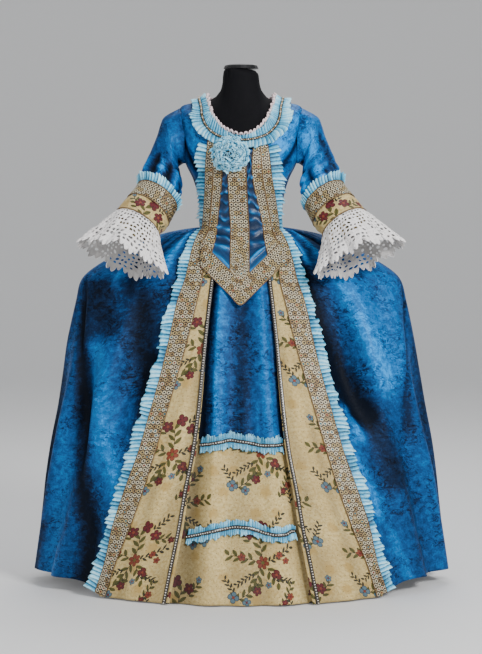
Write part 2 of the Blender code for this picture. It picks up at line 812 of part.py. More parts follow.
def arm_frame(v):
    """Middle, wide way and deep way of the sleeve at a fractional section."""
    s = table_at(arm_names, arm_rows, v)
    tilt = math.radians(s["tilt"])
    pitch = math.radians(s["pitch"])
    wide = Vector((math.cos(tilt), 0.0, math.sin(tilt)))
    along = Vector((math.sin(tilt) * math.cos(pitch), -math.sin(pitch),
                    -math.cos(tilt) * math.cos(pitch)))
    return s, Vector((s["x"], s["y"], s["z"])), wide, wide.cross(along)


def arm_ring(v, count, out=0.0, shape=None):
    s, centre, wide, deep = arm_frame(v)
    ring = []
    for k in range(count):
        turn = 2 * math.pi * k / count
        extra = out + (shape(turn, k) if shape else 0.0)
        ring.append(centre + wide * ((s["wide"] + extra) * math.cos(turn))
                    + deep * ((s["deep"] + extra) * math.sin(turn)))
    return ring


def armhole_loop(bodice):
    """Armhole edge on the +X side, from the shoulder round the back."""
    middle = len(bodice.rows[0]) // 2
    side = middle + column["side"]
    front = middle + column["arm"]
    back = middle + column["arm_back"]
    corners = [(side, shoulder_ring)]
    corners += [(back, r) for r in range(shoulder_ring, armpit_ring + 1)]
    corners += [(side, armpit_ring)]
    corners += [(front, r) for r in range(armpit_ring, shoulder_ring - 1, -1)]
    points = [bodice.rows[r][c] for c, r in corners]
    loop = []
    for i, point in enumerate(points):
        loop.append(point.copy())
        loop.append((point + points[(i + 1) % len(points)]) / 2)
    return loop


def sleeve(bodice, side):
    """Sleeve from the armhole to the cuff, with soft lengthwise folds."""
    rows = [[p + Vector((seam_gap + 0.0004, 0, 0)) for p in armhole_loop(bodice)]]
    for place, depth in sleeve_fold_rows:
        rows.append(arm_ring(place, sleeve_columns, 0.0, lambda turn, k: depth * math.cos(5 * turn + 0.9)))
    name = "sleeve_right" if side > 0 else "sleeve_left"
    return cloth(name, rows if side > 0 else mirrored(rows), "velvet", closed=True)


def cuff(side):
    """Braid band, flowered band and frill at the end of a sleeve."""
    tag = "right" if side > 0 else "left"

    def place(rows):
        return rows if side > 0 else mirrored(rows)

    braid = [arm_ring(v, sleeve_columns, 0.0008) for v in (sleeve_end, braid_end)]
    cloth("cuff_braid_" + tag, place(braid), "braid", closed=True)
    band = [arm_ring(v, sleeve_columns, 0.0008) for v in (braid_end + 0.009, cuff_end)]
    cloth("cuff_band_" + tag, place(band), "brocade", closed=True)
    count = cuff_frill_waves * 2
    free = arm_ring(4.42, count, 0.0075, lambda turn, k: frill_rise * 0.7 * (k % 2))
    held = arm_ring(4.985, count, 0.0022, lambda turn, k: 0.001 * (k % 2))
    cloth("cuff_frill_" + tag, place([free, held]), "frill", trim_wall, closed=True)


def lace_turns():
    """Angles of the lace's columns: a narrow one to cut, then a wide one."""
    pitch = 2 * math.pi / lace_repeats
    turns = []
    for k in range(lace_repeats):
        turns.append(k * pitch)
        turns.append((k + 0.27) * pitch)
    return turns


def lace_point(turn, share):
    """Point of the flounce; share runs from the cuff to the scalloped rim."""
    s, centre, wide, deep = arm_frame(mix(cuff_end + 0.012, lace_end, share))
    flare = share ** 1.15
    wave = 0.008 * flare * math.sin(4 * turn + 0.7)
    start = record(arm_names, arm_rows[cuff_end])
    end = record(arm_names, arm_rows[lace_end])
    across = mix(start["wide"], end["wide"], flare) + wave
    depth = mix(start["deep"], end["deep"], flare) + wave
    return centre + wide * (across * math.cos(turn)) + deep * (depth * math.sin(turn))


def lace_rows():
    shares = [0.0]
    step = 1.0 / lace_hole_rows
    hole = 0.055
    for k in range(lace_hole_rows):
        shares += [(k + 0.55) * step - hole / 2, (k + 0.55) * step + hole / 2]
    shares.append(1.0)
    turns = lace_turns()
    rows = [[lace_point(turn, share) for turn in turns] for share in shares]
    last = rows[-1]
    before = rows[-2]
    for i in range(len(last)):
        reach = 0.009 * math.sin(math.pi * (i % 4) / 4)
        last[i] = last[i] + (last[i] - before[i]).normalized() * (reach - 0.004)
    return rows


def lace_flounce(side):
    """Lace flounce in a front and a back half, its larger holes cut through."""
    rows = lace_rows()
    last = len(rows[0]) // 2
    normals = Sheet([row + [row[0]] for row in rows]).normals
    tag = "right" if side > 0 else "left"
    for part, start in (("back", 1), ("front", last + 1)):
        halves = []
        for grid in (rows, normals):
            halves.append([[row[(start + k) % (2 * last)] for k in range(last + 1)] for row in grid])
        placed = pulled_in(halves[0])
        facing = halves[1]
        if side < 0:
            placed = mirrored(placed)
            facing = mirrored(facing)

        def skip(r, c):
            return r % 2 == 1 and (c if side > 0 else last - 1 - c) % 2 == 1

        cloth("lace_" + part + "_" + tag, placed, "lace", lace_wall, skip=skip, normals=facing)


def rosette(bodice):
    """Ruffled rosette at the front of the neckline, with a stub behind it."""
    count = rosette_columns
    seat = bodice.point(len(bodice.rows[0]) // 2, 4.0)
    centre = Vector((seat.x - 0.004, seat.y - rosette_forward, rosette_z))
    stub_y = seat.y - trim_lift - 0.0002
    turns = [2 * math.pi * k / count for k in range(count)]
    points = []
    for ring in [record(rosette_names, row) for row in rosette_rows]:
        for k, turn in enumerate(turns):
            ripple = ring["wave"] * (1 if k % 2 else -1)
            reach = ring["radius"] + (ripple * 0.6 if ring["radius"] > 0.04 else 0.0)
            away = Vector((reach * math.sin(turn), ring["depth"] + ripple * 0.5, -reach * math.cos(turn)))
            points.append(centre + away)
    for turn in turns:
        points.append(Vector((centre.x + rosette_stub * math.sin(turn), stub_y,
                              centre.z - rosette_stub * math.cos(turn))))
    rings = len(points) // count
    faces = []
    for r in range(rings - 1):
        for k in range(count):
            a = r * count + k
            b = r * count + (k + 1) % count
            faces.append((a, b + count, b))
            faces.append((a, a + count, b + count))
    front = len(points)
    points.append(centre + Vector((0, rosette_face, 0)))
    rear = len(points)
    points.append(Vector((centre.x, stub_y, centre.z)))
    for k in range(count):
        faces.append((front, k, (k + 1) % count))
        a = (rings - 1) * count + k
        b = (rings - 1) * count + (k + 1) % count
        faces.append((rear, b, a))
    return add_mesh("rosette", points, faces, "frill")


def form_rings(bodice):
    """Rings of the dress form, from the neck down to the hips."""
    rows = []
    above = bodice_angles(record(ring_names, ring_rows[0]))
    for row in form_neck_rows:
        ring = dict(record(form_names, row), power=2.0)
        rows.append([ring_point(ring, angle) for angle in above[:-1]])
    for r, line in enumerate(bodice.rows):
        room = cloth_wall + (form_shoulder_gap if r in (1, shoulder_ring) else form_gap)
        rows.append([p - n * room for p, n in zip(line[:-1], bodice.normals[r])])
    below = bodice_angles(record(ring_names, ring_rows[-1]))
    for row in form_hip_rows:
        ring = dict(record(form_names, row), power=2.3)
        rows.append([ring_point(ring, angle) for angle in below[:-1]])
    return rows


def closed_body(name, rings, finish):
    """A closed body through rings, with flat ends."""
    count = len(rings[0])
    points = [p for ring in rings for p in ring]
    faces = grid_faces(len(rings), count, True, None)
    top = len(points)
    points.append(sum(rings[0], Vector()) / count)
    bottom = len(points)
    points.append(sum(rings[-1], Vector()) / count)
    base = (len(rings) - 1) * count
    for k in range(count):
        nxt = (k + 1) % count
        faces.append((top, k, nxt))
        faces.append((bottom, base + nxt, base + k))
    return add_mesh(name, points, faces, finish)


def turned(name, profile, finish, count=32, centre_y=0.0):
    """A turned body from (radius, height) pairs, listed from the top down."""
    rings = []
    for radius, z in profile:
        rings.append([Vector((radius * math.sin(2 * math.pi * k / count),
                              centre_y - radius * math.cos(2 * math.pi * k / count), z))
                      for k in range(count)])
    thing = closed_body(name, rings, finish)
    thing.data.set_sharp_from_angle(angle=math.radians(40))
    return thing


def dress_form(bodice):
    rings = form_rings(bodice)
    body = closed_body("form_body", rings, "form")
    body.data.set_sharp_from_angle(angle=math.radians(50))
    top = form_neck_rows[0][0] + rest_gap
    cap = ((cap_radius - 0.016, top + cap_height), (cap_radius - 0.004, top + cap_height * 0.75),
           (cap_radius, top))
    turned("form_neck_cap", cap, "metal", 20, 0.004)
    low = form_hip_rows[-1][0] - rest_gap
    pole = ((pole_radius, low), (pole_radius, base_height + rest_gap))
    turned("stand_pole", pole, "metal", 16)
    foot = ((pole_radius * 1.6, base_height), (base_radius - 0.012, base_height * 0.6),
            (base_radius, 0.006), (base_radius - 0.002, 0.0))
    turned("stand_base", foot, "metal", 32)


materials = {
    "velvet": material("velvet", (0.02, 0.16, 0.50), 0.55),
    "satin": material("satin", (0.02, 0.17, 0.42), 0.35),
    "frill": material("frill", (0.36, 0.62, 0.72), 0.5),
    "braid": material("braid", (0.50, 0.36, 0.17), 0.6),
    "brocade": material("brocade", (0.66, 0.54, 0.30), 0.6),
    "lace": material("lace", (0.84, 0.80, 0.76), 0.8),
    "form": material("form", (0.01, 0.01, 0.013), 0.45),
    "metal": material("metal", (0.03, 0.03, 0.032), 0.4, 0.6),
}


def build():
    bodice = bodice_sheet()
    skirt = skirt_sheet()
    bodice_back(bodice)
    overskirt(skirt)
    brocade_panels(skirt)
    petticoat(skirt)
    satin_and_braids(bodice, skirt)
    neck_frill(bodice)
    rosette(bodice)
    for side in (-1, 1):
        bodice_front(bodice, side)
        edge_braid(bodice, skirt, side)
        edge_frill(bodice, skirt, side)
        sleeve(bodice, side)
        cuff(side)
        lace_flounce(side)
    dress_form(bodice)


build()
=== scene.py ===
import math

import bpy
import numpy as np
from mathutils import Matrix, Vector


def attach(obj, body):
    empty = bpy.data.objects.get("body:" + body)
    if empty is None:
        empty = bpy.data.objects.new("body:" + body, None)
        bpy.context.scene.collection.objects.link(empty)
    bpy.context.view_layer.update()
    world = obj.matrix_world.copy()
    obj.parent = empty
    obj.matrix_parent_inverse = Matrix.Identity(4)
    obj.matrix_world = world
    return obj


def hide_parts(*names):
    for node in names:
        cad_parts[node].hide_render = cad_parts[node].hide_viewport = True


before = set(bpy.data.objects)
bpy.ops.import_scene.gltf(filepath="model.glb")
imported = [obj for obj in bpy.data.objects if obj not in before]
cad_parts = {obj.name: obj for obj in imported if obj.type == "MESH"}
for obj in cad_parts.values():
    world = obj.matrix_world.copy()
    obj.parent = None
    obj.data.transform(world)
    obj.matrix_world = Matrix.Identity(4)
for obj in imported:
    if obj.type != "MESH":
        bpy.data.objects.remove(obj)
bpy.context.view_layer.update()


def linked(name, data):
    thing = bpy.data.objects.new(name, data)
    bpy.context.scene.collection.objects.link(thing)
    return thing


# Camera, first: it stands a little above the waist and looks slightly down
viewer = {"distance": 5.7, "eyeHeight": 1.086, "aimHeight": 0.724, "shownHeight": 1.864}


def addCamera():
    data = bpy.data.cameras.new("viewer")
    camera = linked("viewer", data)
    camera.location = (0.0, -viewer["distance"], viewer["eyeHeight"])
    aim = Vector((0.0, 0.0, viewer["aimHeight"])) - camera.location
    camera.rotation_euler = aim.to_track_quat("-Z", "Y").to_euler()
    data.sensor_fit = "VERTICAL"
    data.sensor_height = 24.0
    data.lens = data.sensor_height * aim.length / viewer["shownHeight"]
    bpy.context.scene.camera = camera


addCamera()

# Sizes that every cloth piece shares, in metres
gown = {
    "waistZ": 1.005, "leanTop": -0.012, "leanFromZ": 0.9, "leanToZ": 1.2,
    "wingLift": 0.034, "wingFromX": 0.36, "wingWidth": 0.1,
    "pointTipZ": 0.79, "pointSlope": 0.97, "pointBand": 0.068, "centreBraidHalf": 0.0255,
    "ringDropPower": 1.3, "backSeamAngle": 140.0,
    "clothWall": 0.0013, "trimWall": 0.001, "frillWall": 0.0005, "trimLift": 0.0021,
}

# Skirt sections from the waist to the hem
skirtNames = ("z", "half", "front", "back", "power", "bead", "edgeIn", "edgeOut", "frill")
skirtRows = (
    (1.0046, 0.117, 0.093, 0.08, 3.0, 0.06, 0.086, 0.106, 0.1145),
    (0.998, 0.178, 0.0945, 0.088, 2.7, 0.0625, 0.0905, 0.112, 0.126),
    (0.984, 0.238, 0.098, 0.1, 2.6, 0.066, 0.097, 0.121, 0.139),
    (0.956, 0.308, 0.108, 0.122, 2.6, 0.069, 0.106, 0.133, 0.155),
    (0.915, 0.385, 0.127, 0.156, 2.6, 0.072, 0.107, 0.144, 0.169),
    (0.866, 0.45, 0.15, 0.19, 2.6, 0.076, 0.107, 0.155, 0.18),
    (0.8, 0.47, 0.178, 0.215, 2.55, 0.0835, 0.1225, 0.177, 0.2),
    (0.7, 0.489, 0.215, 0.252, 2.45, 0.093, 0.147, 0.198, 0.225),
    (0.6, 0.503, 0.248, 0.285, 2.35, 0.101, 0.175, 0.222, 0.246),
    (0.5, 0.517, 0.282, 0.312, 2.2, 0.1095, 0.204, 0.25, 0.277),
    (0.4, 0.534, 0.314, 0.336, 2.1, 0.122, 0.233, 0.279, 0.307),
    (0.3, 0.548, 0.345, 0.357, 2.0, 0.1405, 0.264, 0.315, 0.34),
    (0.2, 0.559, 0.376, 0.374, 1.9, 0.156, 0.3, 0.348, 0.366),
    (0.1, 0.571, 0.402, 0.388, 1.8, 0.175, 0.34, 0.37, 0.393),
    (0.004, 0.582, 0.425, 0.398, 1.7, 0.193, 0.37, 0.398, 0.424),
)
# Main folds round one side and across the back: how far round, how far out at the hem
sideFolds = (
    (0.07, -0.004), (0.15, 0.012), (0.24, -0.02), (0.34, 0.016), (0.43, -0.01),
    (0.52, 0.014), (0.61, -0.016), (0.7, 0.013), (0.79, -0.014), (0.89, 0.015),
)
backFolds = (
    (0.1, -0.014), (0.2, 0.018), (0.3, -0.016), (0.4, 0.02), (0.5, -0.018),
    (0.6, 0.019), (0.7, -0.017), (0.8, 0.017), (0.9, -0.014),
)
# Broad hollows and swells beside the frills: side, how far round, height, size both ways, slant, depth
hollowNames = ("side", "along", "z", "wide", "tall", "slant", "out")
hollowRows = (
    (-1, 0.06, 0.62, 0.05, 0.16, -0.2, -0.026),
    (-1, 0.155, 0.58, 0.05, 0.25, -0.25, 0.012),
    (1, 0.065, 0.66, 0.055, 0.19, -0.2, -0.034),
    (1, 0.18, 0.62, 0.07, 0.22, -0.3, 0.014),
)
# Folds across the middle of the petticoat
panelFolds = (
    (-1.0, 0.0), (-0.78, -0.003), (-0.52, 0.006), (-0.22, -0.005), (0.05, 0.002),
    (0.3, -0.004), (0.55, 0.006), (0.8, -0.003), (1.0, 0.0),
)
# Bodice rings from the neckline to the waist
ringNames = ("zFront", "zSide", "zBack", "half", "front", "back", "power",
             "satin", "edgeIn", "edgeOut", "frill", "arm")
ringRows = (
    (1.262, 1.371, 1.347, 0.096, 0.113, 0.062, 2.1, 0.042, 0.052, 0.062, 0.074, 62),
    (1.254, 1.36, 1.335, 0.135, 0.1155, 0.074, 2.2, 0.044, 0.057, 0.07, 0.085, 66),
    (1.245, 1.345, 1.318, 0.172, 0.118, 0.088, 2.2, 0.046, 0.061, 0.08, 0.098, 75),
    (1.228, 1.292, 1.27, 0.172, 0.124, 0.102, 2.3, 0.045, 0.063, 0.083, 0.105, 64),
    (1.205, 1.24, 1.225, 0.168, 0.13, 0.105, 2.3, 0.043, 0.065, 0.086, 0.112, 67),
    (1.175, 1.192, 1.18, 0.158, 0.133, 0.102, 2.3, 0.041, 0.067, 0.089, 0.116, 78),
    (1.135, 1.145, 1.135, 0.136, 0.124, 0.094, 2.4, 0.043, 0.069, 0.092, 0.117, 80),
    (1.09, 1.095, 1.09, 0.121, 0.108, 0.086, 2.5, 0.05, 0.075, 0.097, 0.114, 82),
    (1.045, 1.045, 1.045, 0.1165, 0.097, 0.082, 2.8, 0.058, 0.081, 0.102, 0.1125, 83),
    (1.0052, 1.0052, 1.0052, 0.117, 0.093, 0.08, 3.0, 0.063, 0.086, 0.106, 0.1145, 84),
)
shoulderRing, armpitRing, waistRing = 2, 5, 9
# Sleeve and cuff sections on the +X side, armhole to the rim of the lace
armNames = ("x", "y", "z", "wide", "deep", "tilt", "pitch")
armRows = (
    (0.172, -0.003, 1.268, 0.076, 0.058, 88, 0),
    (0.196, -0.005, 1.25, 0.073, 0.06, 74, 4),
    (0.205, -0.018, 1.213, 0.06, 0.057, 58, 14),
    (0.214, -0.04, 1.165, 0.062, 0.055, 45, 26),
    (0.226, -0.068, 1.125, 0.064, 0.054, 38, 32),
    (0.234, -0.09, 1.095, 0.063, 0.054, 36, 34),
    (0.259, -0.118, 1.054, 0.067, 0.056, 36, 34),
    (0.287, -0.15, 1.016, 0.068, 0.058, 33, 34),
    (0.325, -0.215, 0.925, 0.119, 0.062, 22, 32),
)
sleeveEnd, braidEnd, cuffEnd, laceEnd = 5, 6, 7, 8
bothSides = (("left", -1), ("right", 1))
# Columns of the bodice and of the skirt, counted from the middle of the front
bodiceColumn = {"satin": 4, "edgeIn": 5, "edgeOut": 6, "frill": 7, "arm": 9, "side": 10, "armBack": 11}
skirtColumn = {"bead": 2, "edgeIn": 3, "seam": 4, "edgeOut": 5, "frill": 6, "backSeam": 17}


def named(names, row):
    return dict(zip(names, row))


def mix(a, b, t):
    return a + (b - a) * t


def smooth(t):
    t = np.clip(t, 0.0, 1.0)
    return t * t * (3.0 - 2.0 * t)


def sectionPoint(s, angle, z):
    sine, cosine = math.sin(angle), math.cos(angle)
    power = 2.0 / s["power"]
    depth = s["front"] if cosine >= 0 else s["back"]
    return Vector((math.copysign(s["half"] * abs(sine) ** power, sine),
                   -math.copysign(depth * abs(cosine) ** power, cosine), z))


def angleAtX(s, x):
    share = min(abs(x) / s["half"], 0.998)
    return math.copysign(math.asin(share ** (s["power"] / 2.0)), x)


def lean(z):
    return gown["leanTop"] * float(smooth((z - gown["leanFromZ"]) / (gown["leanToZ"] - gown["leanFromZ"])))


def lineAngle(s, side, offset, z):
    return angleAtX(s, side * offset + lean(z) * (1.0 - (offset / s["half"]) ** 2))


# A smooth surface through a coarse grid of points, read at fractional places
class Surface:
    def __init__(self, rows, closed=False):
        grid = np.array([[tuple(p) for p in row] for row in rows], float)
        if closed:
            grid = np.concatenate((grid, grid[:, :1]), axis=1)
        self.closed = closed or bool(np.abs(grid[0, 0] - grid[0, -1]).max() < 1e-6)
        self.lastRow, self.lastColumn = grid.shape[0] - 1, grid.shape[1] - 1
        if self.closed:
            left, right = grid[:, -2:-1], grid[:, 1:2]
        else:
            left, right = 2 * grid[:, :1] - grid[:, 1:2], 2 * grid[:, -1:] - grid[:, -2:-1]
        grid = np.concatenate((left, grid, right), axis=1)
        self.grid = np.concatenate((2 * grid[:1] - grid[1:2], grid, 2 * grid[-1:] - grid[-2:-1]))

    def at(self, u, v):
        u, v = np.broadcast_arrays(np.asarray(u, float), np.asarray(v, float))
        column = np.clip(np.floor(u).astype(int), 0, self.lastColumn - 1)
        row = np.clip(np.floor(v).astype(int), 0, self.lastRow - 1)
        acrossWeights, downWeights = curveWeights(u - column), curveWeights(v - row)
        found = 0.0
        for a in range(4):
            for b in range(4):
                weight = (downWeights[a] * acrossWeights[b])[..., None]
                found = found + weight * self.grid[row + a, column + b]
        return found

    def normal(self, u, v, step=0.02):
        across = self.at(np.add(u, step), v) - self.at(np.subtract(u, step), v)
        down = self.at(u, np.add(v, step)) - self.at(u, np.subtract(v, step))
        normal = np.cross(down, across)
        return normal / np.maximum(np.linalg.norm(normal, axis=-1, keepdims=True), 1e-12)

    def place(self, u, v, out=0.0):
        return self.at(u, v) + self.normal(u, v) * np.asarray(out, float)[..., None]

    # Row places at even distances down one column, and column places along one row
    def evenRows(self, u, count, start=0.0, end=None):
        tries = np.linspace(start, self.lastRow if end is None else end, 600)
        return evenPlaces(tries, self.at(u, tries), count)

    def evenColumns(self, v, count, start=0.0, end=None):
        tries = np.linspace(start, self.lastColumn if end is None else end, 600)
        return evenPlaces(tries, self.at(tries, v), count)


def runLength(points):
    return np.concatenate(([0.0], np.cumsum(np.linalg.norm(np.diff(points, axis=0), axis=1))))


def evenPlaces(tries, points, count):
    length = runLength(points)
    return np.interp(np.linspace(0.0, length[-1], count), length, tries), length[-1]


def curveWeights(t):
    return ((-t ** 3 + 2 * t ** 2 - t) / 2, (3 * t ** 3 - 5 * t ** 2 + 2) / 2,
            (-3 * t ** 3 + 4 * t ** 2 + t) / 2, (t ** 3 - t ** 2) / 2)


def ringPoint(ring, angle):
    share = abs(math.cos(angle)) ** gown["ringDropPower"]
    low = ring["zFront"] if math.cos(angle) >= 0 else ring["zBack"]
    return sectionPoint(ring, angle, mix(ring["zSide"], low, share))


def satinOffsets(ring):
    braid, satin = gown["centreBraidHalf"], ring["satin"]
    return [0.0, braid, mix(braid, satin, 0.33), mix(braid, satin, 0.67), satin, ring["edgeIn"]]


def bodiceAngles(ring):
    sides = {}
    for side in (-1, 1):
        offsets = satinOffsets(ring) + [ring["edgeOut"], ring["frill"]]
        angles = [lineAngle(ring, side, offset, ring["zFront"]) for offset in offsets]
        arm = math.radians(ring["arm"])
        armBack = math.pi - arm
        rest = [mix(abs(angles[-1]), arm, 0.5), arm, math.pi / 2, armBack,
                mix(armBack, math.pi, 0.35), mix(armBack, math.pi, 0.7), math.pi]
        sides[side] = angles + [side * a for a in rest]
    return sides[-1][:0:-1] + sides[1]


def bodiceSurface():
    rings = [named(ringNames, row) for row in ringRows]
    return Surface([[ringPoint(ring, angle) for angle in bodiceAngles(ring)] for ring in rings])


def foldReach(z):
    return float(smooth((0.93 - z) / 0.55))


def lifted(point):
    raiseBy = gown["wingLift"] * float(smooth((abs(point.x) - gown["wingFromX"]) / gown["wingWidth"]))
    return point + Vector((0, 0, raiseBy * float(smooth((0.5 - point.z) / 0.5))))


def skirtAngles(s):
    sides, end = {}, math.radians(gown["backSeamAngle"])
    for side in (-1, 1):
        lines = [0.0, s["bead"] / 2, s["bead"], s["edgeIn"],
                 (s["edgeIn"] + s["edgeOut"]) / 2, s["edgeOut"], s["frill"]]
        angles = [lineAngle(s, side, offset, s["z"]) for offset in lines]
        start = abs(angles[-1])
        angles += [side * mix(start, end, fold[0]) for fold in sideFolds] + [side * end]
        sides[side] = angles
    back = [mix(end, 2 * math.pi - end, fold[0]) for fold in backFolds]
    half = back[:len(back) // 2 + 1]
    return [-a for a in half[::-1]] + sides[-1][::-1][:-1] + sides[1] + half


def hollowOut(side, along, z):
    total = 0.0
    for h in [named(hollowNames, row) for row in hollowRows]:
        if h["side"] == side:
            across = (along - h["along"] - h["slant"] * (z - h["z"])) / h["wide"]
            total += h["out"] * math.exp(-across ** 2 - ((z - h["z"]) / h["tall"]) ** 2)
    return total


def halfOffsets(side, z):
    reach = foldReach(z)
    folds = [out * reach + hollowOut(side, along, z) for along, out in sideFolds]
    back = [out * reach for _, out in backFolds]
    return [0.0] * (skirtColumn["frill"] + 1) + folds + [0.0] + back[:len(back) // 2 + 1]


def skirtOffsets(z):
    return halfOffsets(-1, z)[:0:-1] + halfOffsets(1, z)


def skirtSurface():
    plain = []
    for row in skirtRows:
        s = named(skirtNames, row)
        plain.append([sectionPoint(s, angle, s["z"]) for angle in skirtAngles(s)])
    base = Surface(plain)
    columns = np.arange(base.lastColumn + 1)
    rows = []
    for r, row in enumerate(plain):
        normals = base.normal(columns, r)
        offsets = skirtOffsets(row[0].z)
        rows.append([lifted(p + Vector(n) * out) for p, n, out in zip(row, normals, offsets)])
    return Surface(rows)


bodice = bodiceSurface()
skirt = skirtSurface()
bodiceMiddle = bodice.lastColumn // 2
skirtMiddle = skirt.lastColumn // 2


# Node helpers and the shared node groups; every helper adds to the tree being built
building = {"tree": None}


def link(value, socket):
    building["tree"].links.new(value, socket)


def fill(made, inputs):
    for key, value in inputs.items():
        if isinstance(value, bpy.types.NodeSocket):
            link(value, made.inputs[key])
        else:
            made.inputs[key].default_value = value


def put(kind, inputs=None, **settings):
    made = building["tree"].nodes.new("ShaderNode" + kind)
    for key, value in settings.items():
        setattr(made, key, value)
    fill(made, inputs or {})
    return made


def calc(operation, a, b=0.0, c=0.0, clamp=False):
    return put("Math", {0: a, 1: b, 2: c}, operation=operation, use_clamp=clamp).outputs[0]


def sumOf(operation):
    return lambda *values, **settings: calc(operation, *values, **settings)


times, plus, minus, over = (sumOf(kind) for kind in ("MULTIPLY", "ADD", "SUBTRACT", "DIVIDE"))
timesPlus, below, above = (sumOf(kind) for kind in ("MULTIPLY_ADD", "LESS_THAN", "GREATER_THAN"))
sizeOf, rootOf, wholeOf, partOf = (sumOf(kind) for kind in ("ABSOLUTE", "SQRT", "FLOOR", "FRACT"))


def blendColour(share, a, b, kind="MIX"):
    return put("Mix", {0: share, 6: a, 7: b}, data_type="RGBA", blend_type=kind).outputs[2]


def noiseOf(vector, scale, detail=3.0, roughness=0.5, distortion=0.0):
    return put("TexNoise", {"Vector": vector, "Scale": scale, "Detail": detail, "Roughness": roughness,
                            "Distortion": distortion}).outputs[0]


def spread(value, low, high, newLow=0.0, newHigh=1.0):
    inputs = {"Value": value, "From Min": low, "From Max": high, "To Min": newLow, "To Max": newHigh}
    return put("MapRange", inputs, interpolation_type="SMOOTHSTEP").outputs[0]


def shaded(colour, share):
    return put("VectorMath", {0: colour, "Scale": share}, operation="SCALE").outputs[0]


def stretched(vector, scale, turn=0.0):
    return put("Mapping", {"Vector": vector, "Scale": scale, "Rotation": (0, 0, turn)}).outputs[0]


def newGroup(name, inputs, outputs):
    tree = building["tree"] = bpy.data.node_groups.new(name, "ShaderNodeTree")
    for label, kind, value in inputs:
        socket = tree.interface.new_socket(label, in_out="INPUT", socket_type="NodeSocket" + kind)
        if value is not None:
            socket.default_value = value
    for label, kind in outputs:
        tree.interface.new_socket(label, in_out="OUTPUT", socket_type="NodeSocket" + kind)
    return tree, tree.nodes.new("NodeGroupInput").outputs, tree.nodes.new("NodeGroupOutput").inputs


def useGroup(group, inputs):
    made = put("Group", node_tree=group)
    fill(made, inputs)
    return made.outputs


# Fine threads: two sets of ridges crossing, with a little unevenness
def weaveGroup():
    tree, given, result = newGroup(
        "threadWeave", [("Vector", "Vector", None), ("Threads", "Float", 700.0), ("Uneven", "Float", 0.3)],
        [("Height", "Float")])
    parts = put("SeparateXYZ", {0: given["Vector"]})
    waves = []
    for axis in (0, 1):
        scaled = times(parts.outputs[axis], given["Threads"])
        waves.append(calc("SINE", times(scaled, 2 * math.pi)))
    crossed = times(waves[0], waves[1])
    rough = noiseOf(given["Vector"], 160.0, 2.0)
    total = timesPlus(rough, given["Uneven"], times(crossed, 0.5))
    link(total, result["Height"])
    return tree


# Crushed pile: blotches, fine mottling and brushed streaks, with a few dark cracks
def pileGroup():
    tree, given, result = newGroup(
        "crushedPile", [("Vector", "Vector", None), ("Patch", "Float", 56.0), ("Fine", "Float", 190.0)],
        [("Light", "Float"), ("Height", "Float")])
    vector = given["Vector"]
    blots = noiseOf(vector, given["Patch"], 5.0, 0.62, 0.5)
    fine = noiseOf(vector, given["Fine"], 3.0, 0.65)
    brushed = noiseOf(stretched(vector, (26.0, 150.0, 1.0), 0.25), 1.0, 3.0, 0.6, 0.8)
    light = timesPlus(blots, 0.54, times(fine, 0.34))
    light = timesPlus(brushed, 0.12, light)
    dashes = noiseOf(stretched(vector, (26.0, 52.0, 1.0), 0.3), 1.0, 3.0, 0.6, 0.8)
    vein = sizeOf(minus(dashes, 0.5))
    where = spread(noiseOf(vector, 11.0, 2.0), 0.44, 0.56)
    crack = times(spread(vein, 0.0, 0.04, 1.0, 0.0), where)
    light = timesPlus(crack, -0.85, spread(light, 0.34, 0.68))
    link(light, result["Light"])
    height = timesPlus(blots, 0.8, times(brushed, 0.2))
    link(timesPlus(crack, -0.12, height), result["Height"])
    return tree


# Staggered lattice of little rings: distance from the ring's middle, and a number for each ring
def ringGroup():
    tree, given, result = newGroup(
        "ringLattice", [("Vector", "Vector", None), ("Pitch", "Float", 0.0085)],
        [("Distance", "Float"), ("Chance", "Float")])
    parts = put("SeparateXYZ", {0: given["Vector"]})
    down = over(parts.outputs[1], given["Pitch"])
    row = wholeOf(down)
    stagger = times(calc("MODULO", sizeOf(row), 2.0), 0.5)
    across = plus(over(parts.outputs[0], given["Pitch"]), stagger)
    x = minus(partOf(across), 0.5)
    y = minus(partOf(down), 0.5)
    distance = rootOf(plus(times(x, x), times(y, y)))
    cell = put("CombineXYZ", {0: wholeOf(across), 1: row}).outputs[0]
    chance = put("TexWhiteNoise", {"Vector": cell}, noise_dimensions="2D").outputs[0]
    link(distance, result["Distance"])
    link(chance, result["Chance"])
    return tree


# A point seen from a motif's own place: distance along it and distance off its line
def motifPlace(given):
    moved = put("VectorMath", {0: given["Vector"], 1: given["Centre"]}, operation="SUBTRACT").outputs[0]
    turned = put("VectorRotate", {"Vector": moved, "Angle": given["Turn"]}, rotation_type="Z_AXIS").outputs[0]
    parts = put("SeparateXYZ", {0: turned})
    return parts.outputs[0], parts.outputs[1]


